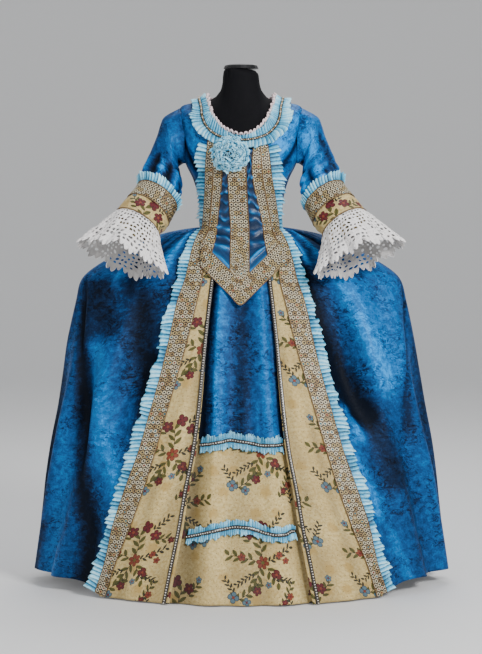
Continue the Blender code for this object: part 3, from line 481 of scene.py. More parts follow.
# A bent stem with pairs of pointed leaves; Tone is light in the leaf and dark at its rim and rib
def sprigGroup():
    tree, given, result = newGroup(
        "leafSprig", [("Vector", "Vector", None), ("Centre", "Vector", None), ("Turn", "Float", 0.0),
                      ("Length", "Float", 0.09), ("Pitch", "Float", 0.022), ("Leaf", "Float", 0.02)],
        [("Mask", "Float"), ("Tone", "Float")])
    along, off = motifPlace(given)
    pitch, leaf = given["Pitch"], given["Leaf"]
    bent = times(times(along, along), 2.2)
    off = minus(off, bent)
    inside = times(above(along, 0.0), below(along, given["Length"]))
    stem = times(below(sizeOf(off), 0.0009), inside)
    side = times(calc("SIGN", off), times(pitch, 0.25))
    place = over(plus(along, side), pitch)
    cell = wholeOf(place)
    local = times(minus(minus(place, cell), 0.12), pitch)
    away = sizeOf(off)
    lengthwise = timesPlus(local, 0.72, times(away, 0.69))
    crosswise = timesPlus(local, -0.69, times(away, 0.72))
    share = over(lengthwise, leaf)
    belly = times(times(share, minus(1.0, share)), leaf)
    depth = minus(times(belly, 0.8), sizeOf(crosswise))
    start = times(above(cell, -0.5), below(times(cell, pitch), given["Length"]))
    blade = times(above(depth, 0.0), start)
    rib = spread(sizeOf(crosswise), 0.0003, 0.0009)
    tone = times(spread(depth, 0.0003, 0.0014), rib)
    link(calc("MAXIMUM", stem, blade), result["Mask"])
    link(times(tone, blade), result["Tone"])
    return tree


# A flower of rounded petals; Tone is light on the petal and dark between petals, Heart is its middle
def bloomGroup():
    tree, given, result = newGroup(
        "roundBloom", [("Vector", "Vector", None), ("Centre", "Vector", None), ("Turn", "Float", 0.0),
                       ("Size", "Float", 0.014), ("Petals", "Float", 5.0), ("Tall", "Float", 1.0)],
        [("Mask", "Float"), ("Tone", "Float"), ("Heart", "Float")])
    along, off = motifPlace(given)
    off = times(off, given["Tall"])
    distance = rootOf(timesPlus(along, along, times(off, off)))
    share = over(distance, given["Size"])
    angle = times(calc("ARCTAN2", off, along), times(given["Petals"], 0.5))
    lobe = sizeOf(calc("COSINE", angle))
    reach = timesPlus(rootOf(lobe), 0.5, 0.5)
    mask = below(share, reach)
    between = spread(times(lobe, share), 0.04, 0.22)
    rim = spread(minus(reach, share), 0.02, 0.2)
    link(mask, result["Mask"])
    link(times(between, rim), result["Tone"])
    link(below(share, 0.24), result["Heart"])
    return tree


threadWeave = weaveGroup()
crushedPile = pileGroup()
ringLattice = ringGroup()
leafSprig = sprigGroup()
roundBloom = bloomGroup()


def newMaterial(name, constants):
    made = bpy.data.materials.new(name)
    made.use_nodes = True
    building["tree"] = made.node_tree
    shader = made.node_tree.nodes["Principled BSDF"]
    fill(shader, constants)
    return made, shader.inputs


def ownUv():
    return put("UVMap", uv_map="cut").outputs[0]


def bumped(shader, height, strength, distance=0.001):
    bump = put("Bump", {"Height": height, "Strength": strength, "Distance": distance})
    link(bump.outputs[0], shader["Normal"])


# The painted shade and painted highlight of folds, read from the tone attribute: -1 deep painted shade, 0
# plain, 1 bright painted highlight
def paintedShadeOf():
    return put("Attribute", attribute_name="tone").outputs["Fac"]


def rampOf(share, stops, constant=False):
    made = put("ValToRGB", {0: share})
    ramp = made.color_ramp
    ramp.interpolation = "CONSTANT" if constant else "LINEAR"
    while len(ramp.elements) < len(stops):
        ramp.elements.new(0.5)
    for element, (position, colour) in zip(ramp.elements, stops):
        element.position = position
        element.color = (*colour, 1.0)
    return made.outputs[0]


# fold is how strongly the painted fold shade and highlight change the velvet; mottle is the pile's own crush
velvetLook = {
    "stops": ((0.0, (0.0008, 0.003, 0.009)), (0.3, (0.0025, 0.017, 0.06)), (0.58, (0.004, 0.066, 0.225)),
              (0.82, (0.006, 0.155, 0.45)), (1.0, (0.015, 0.32, 0.82))),
    "mottle": 0.36, "fold": 0.54, "plain": 0.34,
}


def velvetMaterial():
    made, shader = newMaterial("crushedVelvet", {
        "Sheen Weight": 0.07, "Sheen Roughness": 0.35, "Sheen Tint": (0.02, 0.4, 1.0, 1.0),
        "Specular IOR Level": 0.1})
    pile = useGroup(crushedPile, {"Vector": ownUv()})
    light = timesPlus(pile["Light"], velvetLook["mottle"], velvetLook["plain"])
    # painted shade in the fold hollows and painted highlight on the ridges, from the tone attribute
    light = timesPlus(paintedShadeOf(), velvetLook["fold"], light)
    link(rampOf(light, velvetLook["stops"]), shader["Base Color"])
    link(spread(light, 0.0, 1.0, 0.62, 0.4), shader["Roughness"])
    bumped(shader, pile["Height"], 0.6, 0.0035)
    return made


satinStops = ((0.0, (0.0003, 0.004, 0.014)), (0.45, (0.001, 0.03, 0.1)), (0.75, (0.003, 0.085, 0.24)),
              (1.0, (0.015, 0.23, 0.56)))


def satinMaterial():
    made, shader = newMaterial("ruchedSatin", {"Specular IOR Level": 0.32, "Sheen Weight": 0.02})
    uv = ownUv()
    cloud = noiseOf(stretched(uv, (30.0, 90.0, 1.0)), 1.0, 3.0)
    # painted shade in the ruche hollows and painted highlight on their ridges
    light = timesPlus(paintedShadeOf(), 0.42, timesPlus(cloud, 0.3, 0.38))
    link(rampOf(light, satinStops), shader["Base Color"])
    link(spread(cloud, 0.2, 0.8, 0.28, 0.4), shader["Roughness"])
    weave = useGroup(threadWeave, {"Vector": uv, "Threads": 900.0})
    bumped(shader, weave["Height"], 0.15, 0.0004)
    return made


frillStops = ((0.0, (0.004, 0.045, 0.1)), (0.3, (0.025, 0.19, 0.34)), (0.62, (0.12, 0.48, 0.72)),
              (1.0, (0.47, 0.86, 1.0)))


def frillMaterial():
    made, shader = newMaterial("iceBlueSatin", {"Specular IOR Level": 0.3, "Sheen Weight": 0.04,
                                                      "Sheen Tint": (0.5, 0.85, 1.0, 1.0)})
    uv = ownUv()
    cloud = noiseOf(uv, 95.0, 4.0, 0.65)
    # painted shade in the pleat grooves and at the roots, painted highlight on the crests and free edges
    light = timesPlus(paintedShadeOf(), 0.78, timesPlus(cloud, 0.8, 0.2))
    link(rampOf(light, frillStops), shader["Base Color"])
    link(spread(cloud, 0.2, 0.8, 0.36, 0.55), shader["Roughness"])
    weave = useGroup(threadWeave, {"Vector": uv, "Threads": 800.0})
    bumped(shader, weave["Height"], 0.2, 0.0004)
    return made


braidLook = {"pitch": 0.0122, "holeRadius": 0.23, "ringRadius": 0.44, "softEdge": 0.03}
braidRings = ((0.0, (0.82, 0.73, 0.5)), (0.36, (0.6, 0.45, 0.2)), (0.6, (0.76, 0.66, 0.46)),
              (0.88, (0.4, 0.26, 0.11)))
braidHoles = ((0.0, (0.008, 0.005, 0.004)), (0.44, (0.012, 0.11, 0.15)), (0.58, (0.01, 0.006, 0.005)),
              (0.9, (0.42, 0.36, 0.24)), (0.94, (0.16, 0.02, 0.012)))


def braidMaterial():
    made, shader = newMaterial("goldBraid", {"Specular IOR Level": 0.5})
    uv = ownUv()
    rings = useGroup(ringLattice, {"Vector": uv, "Pitch": braidLook["pitch"]})
    distance, chance = rings["Distance"], rings["Chance"]
    threads = noiseOf(uv, 700.0, 2.0, 0.7)
    shade = spread(threads, 0.3, 0.7, 0.28, 1.18)
    gold = rampOf(chance, braidRings, True)
    gold = shaded(gold, shade)
    gaps = spread(noiseOf(uv, 260.0, 2.0), 0.48, 0.66)
    ground = blendColour(gaps, (0.01, 0.006, 0.004, 1), (0.2, 0.13, 0.05, 1))
    other = partOf(times(chance, 17.0))
    middle = rampOf(other, braidHoles, True)
    soft = braidLook["softEdge"]
    ringMask, holeMask = (spread(distance, braidLook[name] - soft, braidLook[name] + soft, 1.0, 0.0)
                          for name in ("ringRadius", "holeRadius"))
    colour = blendColour(ringMask, ground, gold)
    colour = blendColour(holeMask, colour, middle)
    link(colour, shader["Base Color"])
    link(times(ringMask, 0.2), shader["Metallic"])
    link(spread(threads, 0.2, 0.8, 0.38, 0.62), shader["Roughness"])
    height = plus(minus(ringMask, holeMask), times(threads, 0.5))
    bumped(shader, height, 0.8, 0.0012)
    return made


# One spray of the brocade in metres from its middle; it repeats in a half drop
brocadeLook = {"wide": 0.235, "tall": 0.3}
dyes = {  # dark and light of each thread colour
    "red": ((0.022, 0.001, 0.002), (0.11, 0.004, 0.008)),
    "rust": ((0.06, 0.005, 0.003), (0.21, 0.036, 0.012)),
    "wine": ((0.02, 0.002, 0.002), (0.11, 0.01, 0.008)),
    "slate": ((0.01, 0.026, 0.038), (0.09, 0.16, 0.2)),
    "olive": ((0.009, 0.009, 0.002), (0.105, 0.095, 0.01)),
    "dark": ((0.007, 0.006, 0.002), (0.04, 0.034, 0.01)),
}
sprigRows = (  # x, y, direction in degrees, length, leaf pitch, leaf length, dye
    (0.004, 0.02, 97, 0.052, 0.022, 0.027, "olive"), (-0.002, -0.016, 248, 0.06, 0.02, 0.025, "olive"),
    (0.024, 0.004, 24, 0.062, 0.015, 0.016, "dark"), (-0.016, 0.006, 160, 0.068, 0.021, 0.024, "olive"),
    (-0.066, -0.1, 28, 0.08, 0.02, 0.023, "olive"), (-0.074, -0.082, 118, 0.046, 0.013, 0.014, "dark"),
    (0.056, -0.124, 58, 0.07, 0.016, 0.018, "olive"), (0.028, 0.09, 48, 0.044, 0.014, 0.015, "dark"),
    (0.02, -0.018, 305, 0.044, 0.019, 0.024, "olive"), (0.03, -0.036, 338, 0.056, 0.012, 0.013, "dark"),
    (-0.03, 0.06, 128, 0.05, 0.017, 0.02, "olive"), (-0.02, -0.03, 205, 0.052, 0.012, 0.013, "dark"),
    (0.036, 0.06, 8, 0.046, 0.017, 0.02, "olive"), (0.09, -0.14, 100, 0.06, 0.012, 0.012, "dark"),
)
bloomRows = (  # x, y, turn, size, petals, squash, dye, heart dye
    (-0.03, 0.078, 0.3, 0.0165, 5, 1.0, "red", "rust"), (0.006, 0.096, 1.1, 0.019, 4, 1.2, "red", "red"),
    (0.038, 0.074, 2.0, 0.016, 5, 1.0, "red", "rust"), (0.006, 0.0, 0.2, 0.019, 6, 1.0, "rust", "olive"),
    (0.052, 0.02, 0.4, 0.01, 5, 1.0, "rust", "red"), (0.07, 0.004, 1.0, 0.01, 5, 1.0, "rust", "red"),
    (-0.052, 0.016, 0.8, 0.0115, 5, 1.0, "rust", "red"), (0.044, -0.032, 0.7, 0.016, 3, 1.2, "wine", "rust"),
    (-0.076, -0.092, 0.2, 0.0165, 4, 1.0, "slate", "rust"),
    (-0.04, -0.104, 1.4, 0.0135, 4, 1.1, "slate", "red"),
    (0.082, -0.092, 0.2, 0.0105, 5, 1.0, "rust", "red"), (0.066, -0.108, 1.2, 0.0095, 5, 1.0, "red", "rust"),
    (-0.01, -0.076, 0.5, 0.013, 5, 1.0, "red", "rust"), (0.022, -0.06, 0.5, 0.01, 5, 1.0, "slate", "rust"),
    (-0.062, 0.104, 0.9, 0.01, 5, 1.0, "slate", "red"), (0.086, 0.064, 0.5, 0.0105, 5, 1.0, "wine", "rust"),
)


def sprayPlace(uv):
    parts = put("SeparateXYZ", {0: uv})
    across = over(plus(parts.outputs[0], 0.075), brocadeLook["wide"])
    column = wholeOf(across)
    odd = calc("MODULO", sizeOf(column), 2.0)
    down = plus(over(parts.outputs[1], brocadeLook["tall"]), timesPlus(odd, 0.5, 0.62))
    x = times(minus(partOf(across), 0.5), brocadeLook["wide"])
    x = times(x, timesPlus(odd, -2.0, 1.0))
    y = times(minus(partOf(down), 0.5), brocadeLook["tall"])
    return put("CombineXYZ", {0: x, 1: y}).outputs[0]


def dyed(colour, mask, tone, dye):
    dark, light = dyes[dye]
    return blendColour(mask, colour, blendColour(tone, (*dark, 1), (*light, 1)))


def brocadeGround(uv):
    discs = useGroup(ringLattice, {"Vector": uv, "Pitch": 0.058})
    some = below(discs["Chance"], 0.5)
    cloud = noiseOf(uv, 130.0, 4.0, 0.7)
    edge = timesPlus(noiseOf(uv, 75.0, 4.0, 0.7), 0.55, discs["Distance"])
    disc = times(spread(edge, 0.42, 0.62, 0.72, 0.0), some)
    shade = spread(noiseOf(uv, 9.0, 3.0), 0.35, 0.7)
    ground = spread(cloud, 0.35, 0.65)
    ground = blendColour(ground, (0.5, 0.35, 0.115, 1), (0.7, 0.55, 0.25, 1))
    ground = blendColour(times(shade, 0.5), ground, (0.38, 0.255, 0.09, 1))
    ground = blendColour(disc, ground, (0.44, 0.28, 0.07, 1))
    dots = useGroup(ringLattice, {"Vector": uv, "Pitch": 0.0145})
    dot = times(below(dots["Distance"], 0.075), below(dots["Chance"], 0.75))
    return blendColour(dot, ground, (0.15, 0.085, 0.025, 1)), cloud


def brocadeMaterial():
    made, shader = newMaterial("floweredBrocade", {"Specular IOR Level": 0.35, "Sheen Weight": 0.05})
    uv = ownUv()
    colour, cloud = brocadeGround(uv)
    spot = sprayPlace(uv)
    for x, y, way, length, pitch, leaf, dye in sprigRows:
        sprig = useGroup(leafSprig, {"Vector": spot, "Centre": (x, y, 0), "Turn": -math.radians(way),
                                           "Length": length, "Pitch": pitch, "Leaf": leaf})
        colour = dyed(colour, sprig["Mask"], sprig["Tone"], dye)
    for x, y, turn, size, petals, squash, dye, heart in bloomRows:
        bloom = useGroup(roundBloom, {"Vector": spot, "Centre": (x, y, 0), "Turn": turn, "Size": size,
                                            "Petals": float(petals), "Tall": squash})
        colour = dyed(colour, bloom["Mask"], bloom["Tone"], dye)
        middle = times(bloom["Mask"], bloom["Heart"])
        colour = blendColour(middle, colour, (*dyes[heart][1], 1))
    # painted shade darkens the brocade in the fold hollows, and painted light brightens it a little on ridges
    # and on the cuff bands
    fold = timesPlus(paintedShadeOf(), 0.4, 0.92, clamp=True)
    link(shaded(colour, fold), shader["Base Color"])
    link(spread(cloud, 0.2, 0.8, 0.4, 0.56), shader["Roughness"])
    weave = useGroup(threadWeave, {"Vector": uv, "Threads": 520.0, "Uneven": 0.6})
    height = timesPlus(cloud, 1.6, weave["Height"])
    crumple = noiseOf(uv, 17.0, 3.0, 0.55, 0.9)
    bumped(shader, timesPlus(crumple, 16.0, height), 0.45, 0.0008)
    return made


def laceMaterial():
    made, shader = newMaterial("cordedLace", {"Specular IOR Level": 0.25, "Sheen Weight": 0.1})
    uv = ownUv()
    cloud = noiseOf(uv, 60.0, 3.0)
    pale = blendColour(cloud, (0.9, 0.85, 0.83, 1), (0.98, 0.97, 0.96, 1))
    shade = timesPlus(paintedShadeOf(), 0.42, 0.94, clamp=True)
    link(shaded(pale, shade), shader["Base Color"])
    link(spread(cloud, 0.2, 0.8, 0.7, 0.9), shader["Roughness"])
    weave = useGroup(threadWeave, {"Vector": uv, "Threads": 420.0, "Uneven": 0.8})
    bumped(shader, weave["Height"], 0.6, 0.0008)
    return made


def plainMaterial(name, first, second, scale, roughness, metallic=0.0, bump=0.1, shine=0.5):
    made, shader = newMaterial(name, {"Specular IOR Level": shine})
    place = put("TexCoord").outputs["Object"]
    cloud = noiseOf(place, scale, 4.0)
    link(blendColour(cloud, first, second), shader["Base Color"])
    link(spread(cloud, 0.2, 0.8, roughness - 0.08, roughness + 0.08), shader["Roughness"])
    shader["Metallic"].default_value = metallic
    bumped(shader, noiseOf(place, scale * 9.0, 2.0), bump, 0.0006)
    return made


velvet = velvetMaterial()
satin = satinMaterial()
iceSatin = frillMaterial()
goldBraid = braidMaterial()
brocade = brocadeMaterial()
laceThread = laceMaterial()
formCloth = plainMaterial("formJersey", (0.0012, 0.0012, 0.0018, 1), (0.004, 0.004, 0.006, 1), 90.0, 0.8,
                          shine=0.15)
formMetal = plainMaterial("formMetal", (0.02, 0.02, 0.022, 1), (0.05, 0.05, 0.052, 1), 60.0, 0.35, 0.8)
beadGold = plainMaterial("beadGold", (0.2, 0.12, 0.05, 1), (0.6, 0.45, 0.25, 1), 300.0, 0.3, 0.5)
beadJet = plainMaterial("beadJet", (0.01, 0.01, 0.01, 1), (0.06, 0.05, 0.04, 1), 300.0, 0.25)
beadPearl = plainMaterial("beadPearl", (0.62, 0.56, 0.48, 1), (0.85, 0.8, 0.72, 1), 300.0, 0.25)
cordDark = plainMaterial("cordDark", (0.06, 0.03, 0.01, 1), (0.22, 0.13, 0.05, 1), 260.0, 0.5, 0.2)
picotPink = plainMaterial("picotPink", (0.74, 0.52, 0.54, 1), (0.94, 0.84, 0.84, 1), 400.0, 0.7)
print("materials made")


# Widths along rows and lengths down columns, as cut cloth has them
def cutPlaces(points, closed):
    if closed:
        points = np.concatenate((points, points[:, :1]), axis=1)
    steps = np.linalg.norm(np.diff(points, axis=1), axis=2)
    across = np.concatenate((np.zeros((len(points), 1)), np.cumsum(steps, axis=1)), axis=1)
    middle = across.shape[1] // 2
    across = across - across[:, middle:middle + 1]
    falls = np.linalg.norm(np.diff(points, axis=0), axis=2).mean(axis=1)
    down = np.concatenate(([0.0], np.cumsum(falls)))
    return np.stack((across, np.repeat(-down[:, None], across.shape[1], axis=1)), axis=-1)


def activate(thing):
    bpy.ops.object.select_all(action="DESELECT")
    thing.select_set(True)
    bpy.context.view_layer.objects.active = thing


# A mesh with its cut map at each corner and a painted shade at each point
def clothMesh(name, points, faces, places, paintedShades, finish):
    mesh = bpy.data.meshes.new(name)
    mesh.from_pydata(points.tolist(), [], faces)
    mesh.uv_layers.new(name="cut").data.foreach_set("uv", places.astype(np.float32).ravel())
    mesh.attributes.new("tone", "FLOAT", "POINT").data.foreach_set("value", np.asarray(paintedShades, np.float32))
    mesh.shade_smooth()
    mesh.materials.append(finish)
    return linked(name, mesh)


cloths = {  # slot and wall of each cloth
    velvet: ("velvet", gown["clothWall"]), satin: ("satin", gown["clothWall"]),
    brocade: ("brocade", gown["clothWall"]), goldBraid: ("braid", gown["trimWall"]),
    iceSatin: ("frill", gown["frillWall"]),
}


# A sheet of cloth from a grid of points, given a thin wall inwards; its frame node is hidden and its cut
# printed
def makeSheet(name, points, finish, held, restsOn, closed=False, keep=None, uv=None, tone=0.0):
    rows, columns = points.shape[:2]
    index = np.arange(rows * columns).reshape(rows, columns)
    uv = cutPlaces(points, closed) if uv is None else uv
    if closed:
        index = np.concatenate((index, index[:, :1]), axis=1)
    corners = (np.s_[:-1, :-1], np.s_[1:, :-1], np.s_[1:, 1:], np.s_[:-1, 1:])
    quads = np.stack([index[c] for c in corners], axis=-1)
    places = np.stack([uv[c] for c in corners], axis=-2)
    quads = quads.reshape(-1, 4) if keep is None else quads[keep]
    places = places if keep is None else places[keep]
    used = np.unique(quads)
    renumber = np.zeros(rows * columns, int)
    renumber[used] = np.arange(len(used))
    paintedShades = np.broadcast_to(np.asarray(tone, float), (rows, columns)).reshape(-1)[used]
    corners, faces = points.reshape(-1, 3)[used], renumber[quads].tolist()
    thing = clothMesh(name + "_sewn", corners, faces, places, paintedShades, finish)
    flatArea = sum(face.area for face in thing.data.polygons)
    slotName, wall = cloths[finish]
    addWall(thing, wall, -1.0)
    declare(thing, slotName, name, *cutSize(points, closed), flatArea, held, restsOn)


def addWall(thing, wall, offset):
    activate(thing)
    shell = thing.modifiers.new("wall", "SOLIDIFY")
    shell.thickness = wall
    shell.offset = offset
    shell.use_even_offset = False
    bpy.ops.object.modifier_apply(modifier="wall")


def declare(thing, slotName, node, width, length, flatArea, held, restsOn):
    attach(thing, "root")
    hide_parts(node)
    print("sheet", node, "cut", round(width, 3), "x", round(length, 3), "area", round(flatArea, 4))


def cutSize(points, closed):
    around = np.concatenate((points, points[:, :1]), axis=1) if closed else points
    width = np.linalg.norm(np.diff(around, axis=1), axis=2).sum(axis=1).max()
    length = np.linalg.norm(np.diff(points, axis=0), axis=2).sum(axis=0).max()
    return max(float(width), 0.011), max(float(length), 0.011)


# Folds placed one by one. Each follows its own points (along, down), is wide towards low and towards high
# places, grows by its last number, and has a rise in metres and a tone of its own: painted shade below 0,
# painted highlight above 0
foldNames = ("line", "before", "after", "out", "tone", "grow")


def foldShape(table, along, down):
    shape = np.broadcast(along, down).shape
    out, tone = np.zeros(shape), np.zeros(shape)
    for row in table:
        fold = named(foldNames, row)
        alongs, downs = zip(*fold["line"])
        t = (down - downs[0]) / (downs[-1] - downs[0])
        line = np.interp(down, downs, alongs) + 0.12 * fold["before"] * np.sin(9.0 * t + 11.0 * alongs[0])
        size = mix(1.0, fold["grow"], np.clip(t, 0, 1))
        away = (along - line) / (np.where(along < line, fold["before"], fold["after"]) * size)
        bell = smooth(t / 0.16) * smooth((1.0 - t) / 0.16) * np.exp(-away ** 2)
        out = out + fold["out"] * bell
        tone = tone + fold["tone"] * bell
    return out, tone


# Small gathers that fade with the distance from where the cloth is drawn in
def gathers(along, down, count, depth, fade, seed):
    chance = np.random.default_rng(seed)
    total = 0.0
    for part in range(4):
        waves = count * (0.6 + 0.35 * part)
        shift = chance.uniform(0, 6.28)
        sway = chance.uniform(0.5, 1.5)
        total = total + np.sin(along * waves * 6.28 + shift + sway * np.sin(5.0 * along + 3.0 * down))
    return depth * total / 4.0 * np.exp(-down / fade)


# Overskirt: two sides and the back. Along is 0 at the frill and 1 at the back seam, down 0 at the waist
overskirt = {
    "columns": 116, "rows": 120, "gathers": 13, "gatherFade": 0.11,
    "backColumns": 86, "backRows": 100, "backGathers": 12, "backFade": 0.15,
    "gatherDepth": 0.007, "gatherPaintedShade": 0.75, "seam": 0.04,
}
# In these three tables a negative tone is painted shade in a fold's hollow and a positive one painted
# highlight on its ridge; rows with no rise are painted shade and highlight alone
leftFolds = (
    (((0.575, 0.27), (0.44, 0.49), (0.35, 0.72), (0.225, 0.875), (0.15, 1.12)),
     0.022, 0.016, -0.015, -1.05, 2.6),
    (((0.42, 0.38), (0.335, 0.54), (0.255, 0.68), (0.14, 0.79), (0.02, 0.9)), 0.05, 0.06, 0.009, 0.55, 0.9),
    (((0.58, 0.36), (0.49, 0.59), (0.42, 0.74), (0.39, 0.87), (0.38, 1.15)), 0.05, 0.06, 0.007, 0.42, 1.1),
    (((0.66, 0.3), (0.62, 0.6), (0.57, 0.8), (0.55, 1.12)), 0.045, 0.05, -0.007, -0.6, 1.0),
    (((0.28, 0.3), (0.215, 0.45), (0.175, 0.53), (0.1, 0.7)), 0.06, 0.045, -0.009, -0.85, 0.9),
    (((0.17, 0.46), (0.16, 0.51), (0.14, 0.57)), 0.035, 0.03, -0.004, -0.6, 1.0),
    (((0.46, 0.29), (0.42, 0.36), (0.38, 0.46)), 0.11, 0.11, -0.004, -0.7, 0.7),
    (((0.5, 0.04), (0.5, 0.33)), 0.13, 0.13, 0.0, 0.22, 1.0),
    (((0.6, 0.3), (0.57, 0.6), (0.55, 1.15)), 0.15, 0.2, 0.0, -0.26, 1.0),
    (((0.09, 0.06), (0.12, 0.38)), 0.05, 0.045, -0.005, -0.65, 1.1),
    (((0.19, 0.07), (0.215, 0.3)), 0.018, 0.022, 0.006, 0.75, 1.5),
    (((0.33, 0.1), (0.31, 0.36)), 0.016, 0.014, -0.006, -0.6, 1.6),
    (((0.385, 0.12), (0.375, 0.34)), 0.016, 0.012, 0.006, 0.6, 1.3),
    (((0.26, 0.06), (0.27, 0.26)), 0.014, 0.014, -0.005, -0.45, 1.4),
    (((0.34, 0.9), (0.31, 1.08)), 0.02, 0.014, 0.006, 0.45, 1.2),
    (((0.45, 0.86), (0.47, 1.08)), 0.022, 0.012, -0.006, -0.5, 1.2),
    (((0.03, 0.55), (0.05, 0.72)), 0.02, 0.03, -0.003, -0.4, 1.0),
    (((0.73, 0.08), (0.72, 0.5), (0.7, 1.12)), 0.02, 0.03, -0.012, -0.8, 1.8),
    (((0.81, 0.12), (0.8, 0.6), (0.79, 1.12)), 0.045, 0.04, 0.01, 0.5, 1.2),
    (((0.91, 0.05), (0.9, 0.5), (0.92, 1.12)), 0.018, 0.03, -0.01, -0.7, 1.7),
)
rightFolds = (
    (((0.13, 0.24), (0.17, 0.38), (0.195, 0.5), (0.225, 0.575), (0.27, 0.66)),
     0.07, 0.042, -0.012, -1.15, 1.0),
    (((0.26, 0.57), (0.27, 0.64), (0.3, 0.8)), 0.05, 0.05, -0.004, -0.6, 1.2),
    (((0.265, 0.26), (0.3, 0.42), (0.335, 0.52), (0.345, 0.6)), 0.03, 0.06, 0.01, 0.6, 1.1),
    (((0.48, 0.12), (0.45, 0.35), (0.4, 0.6)), 0.12, 0.1, 0.003, 0.36, 0.8),
    (((0.66, 0.24), (0.53, 0.42), (0.43, 0.56), (0.39, 0.7)), 0.01, 0.016, -0.006, -0.55, 1.4),
    (((0.74, 0.26), (0.63, 0.5), (0.56, 0.72), (0.54, 1.15)), 0.08, 0.09, -0.003, -0.42, 1.0),
    (((0.18, 0.575), (0.215, 0.68)), 0.026, 0.02, 0.006, 0.95, 1.2),
    (((0.12, 0.62), (0.17, 0.74), (0.19, 0.86)), 0.034, 0.03, 0.004, 0.6, 1.0),
    (((0.1, 0.02), (0.15, 0.3)), 0.06, 0.05, -0.006, -0.75, 1.1),
    (((0.155, 0.06), (0.185, 0.27)), 0.012, 0.012, 0.006, 1.0, 1.5),
    (((0.23, 0.05), (0.255, 0.25)), 0.012, 0.014, 0.005, 0.7, 1.5),
    (((0.31, 0.04), (0.345, 0.22)), 0.03, 0.026, -0.006, -0.6, 1.2),
    (((0.34, 0.7), (0.33, 0.88), (0.34, 1.12)), 0.045, 0.05, -0.004, -0.28, 1.2),
    (((0.44, 0.66), (0.45, 0.9), (0.46, 1.12)), 0.05, 0.045, 0.004, 0.22, 1.1),
    (((0.22, 0.84), (0.24, 1.12)), 0.026, 0.02, 0.005, 0.4, 1.2),
    (((0.09, 0.8), (0.13, 1.12)), 0.022, 0.018, -0.005, -0.45, 1.3),
    (((0.75, 0.08), (0.74, 0.5), (0.71, 1.12)), 0.018, 0.03, -0.011, -0.75, 1.8),
    (((0.83, 0.1), (0.82, 0.6), (0.81, 1.12)), 0.045, 0.04, 0.01, 0.45, 1.2),
    (((0.92, 0.06), (0.92, 0.5), (0.91, 1.12)), 0.018, 0.028, -0.01, -0.7, 1.6),
)
backFoldsShown = (  # along 0 at the right back seam, 1 at the left one
    (((0.07, 0.04), (0.08, 0.6), (0.06, 1.12)), 0.04, 0.03, 0.007, 0.35, 1.3),
    (((0.17, 0.06), (0.16, 0.5), (0.14, 1.12)), 0.02, 0.034, -0.012, -0.85, 1.7),
    (((0.27, 0.03), (0.28, 0.7), (0.29, 1.12)), 0.055, 0.045, 0.009, 0.5, 1.1),
    (((0.39, 0.08), (0.37, 0.45), (0.4, 0.8)), 0.018, 0.03, -0.01, -0.75, 1.6),
    (((0.5, 0.04), (0.51, 1.12)), 0.06, 0.05, 0.008, 0.45, 1.0),
    (((0.585, 0.05), (0.6, 0.55), (0.63, 1.12)), 0.03, 0.018, -0.013, -0.95, 1.8),
    (((0.71, 0.1), (0.72, 0.6), (0.7, 1.12)), 0.05, 0.045, 0.008, 0.45, 1.2),
    (((0.82, 0.04), (0.8, 0.65)), 0.018, 0.028, -0.01, -0.65, 1.5),
    (((0.87, 0.45), (0.9, 1.12)), 0.03, 0.02, -0.009, -0.7, 1.6),
    (((0.94, 0.06), (0.94, 0.5)), 0.02, 0.02, 0.005, 0.4, 1.2),
    (((0.45, 0.86), (0.44, 1.08)), 0.02, 0.014, -0.006, -0.4, 1.2),
)


def drawnCloth(table, along, down, length, count, fade, seed):
    out, tone = foldShape(table, along, down)
    drawn = gathers(along, down * length, count, overskirt["gatherDepth"], fade, seed) * smooth(down / 0.012)
    # the gathers' ridges are painted lighter and their hollows painted darker
    return out + drawn, tone + overskirt["gatherPaintedShade"] * drawn / overskirt["gatherDepth"]


def overskirtSide(name, first, last, table, seed):
    along = np.linspace(0.0, 1.0, overskirt["columns"])[None, :]
    places, length = skirt.evenRows(skirtMiddle + (first + last) / 2, overskirt["rows"])
    down = np.linspace(0.0, 1.0, overskirt["rows"])[:, None]
    share = 1.0 - along if last < 0 else along
    out, tone = drawnCloth(table, share, down, length, overskirt["gathers"], overskirt["gatherFade"], seed)
    underFrill = np.where(out > 0, smooth((share - 0.165) / 0.07), smooth((share - 0.035) / 0.09))
    out = out * underFrill * smooth((1.0 - share) / overskirt["seam"])
    u = skirtMiddle + first + (last - first) * along
    makeSheet(name, skirt.place(u, places[:, None], out), velvet, "gathered", ["form_body"], tone=tone)


# The columns from one side's seam round the back to the other's, as a surface of their own
def roundTheBack(surface, middle, seam):
    return Surface([row[middle + seam + 1:-1].tolist() + row[2:middle - seam + 2].tolist()
                    for row in surface.grid[1:-1]])


def overskirtBack():
    wrapped = roundTheBack(skirt, skirtMiddle, skirtColumn["backSeam"])
    along = np.linspace(0.0, 1.0, overskirt["backColumns"])[None, :]
    places, length = wrapped.evenRows(wrapped.lastColumn / 2, overskirt["backRows"])
    down = np.linspace(0.0, 1.0, overskirt["backRows"])[:, None]
    out, tone = drawnCloth(backFoldsShown, along, down, length, overskirt["backGathers"],
                           overskirt["backFade"], 5)
    out = out * smooth(along / overskirt["seam"]) * smooth((1.0 - along) / overskirt["seam"])
    makeSheet("overskirt_back", wrapped.place(wrapped.lastColumn * along, places[:, None], out), velvet,
              "gathered", ["form_body"], tone=tone)


overskirtSide("overskirt_right", skirtColumn["seam"], skirtColumn["backSeam"], rightFolds, 3)
overskirtSide("overskirt_left", -skirtColumn["backSeam"], -skirtColumn["seam"], leftFolds, 4)
overskirtBack()
print("overskirt made")

# Bodice: two fronts with the front half of each armhole, and the back
bodiceSewn = {"perColumn": 10, "perRing": 8, "rightLower": 0.25, "paintedLightRight": 0.42, "paintedLightLeft": 0.05}
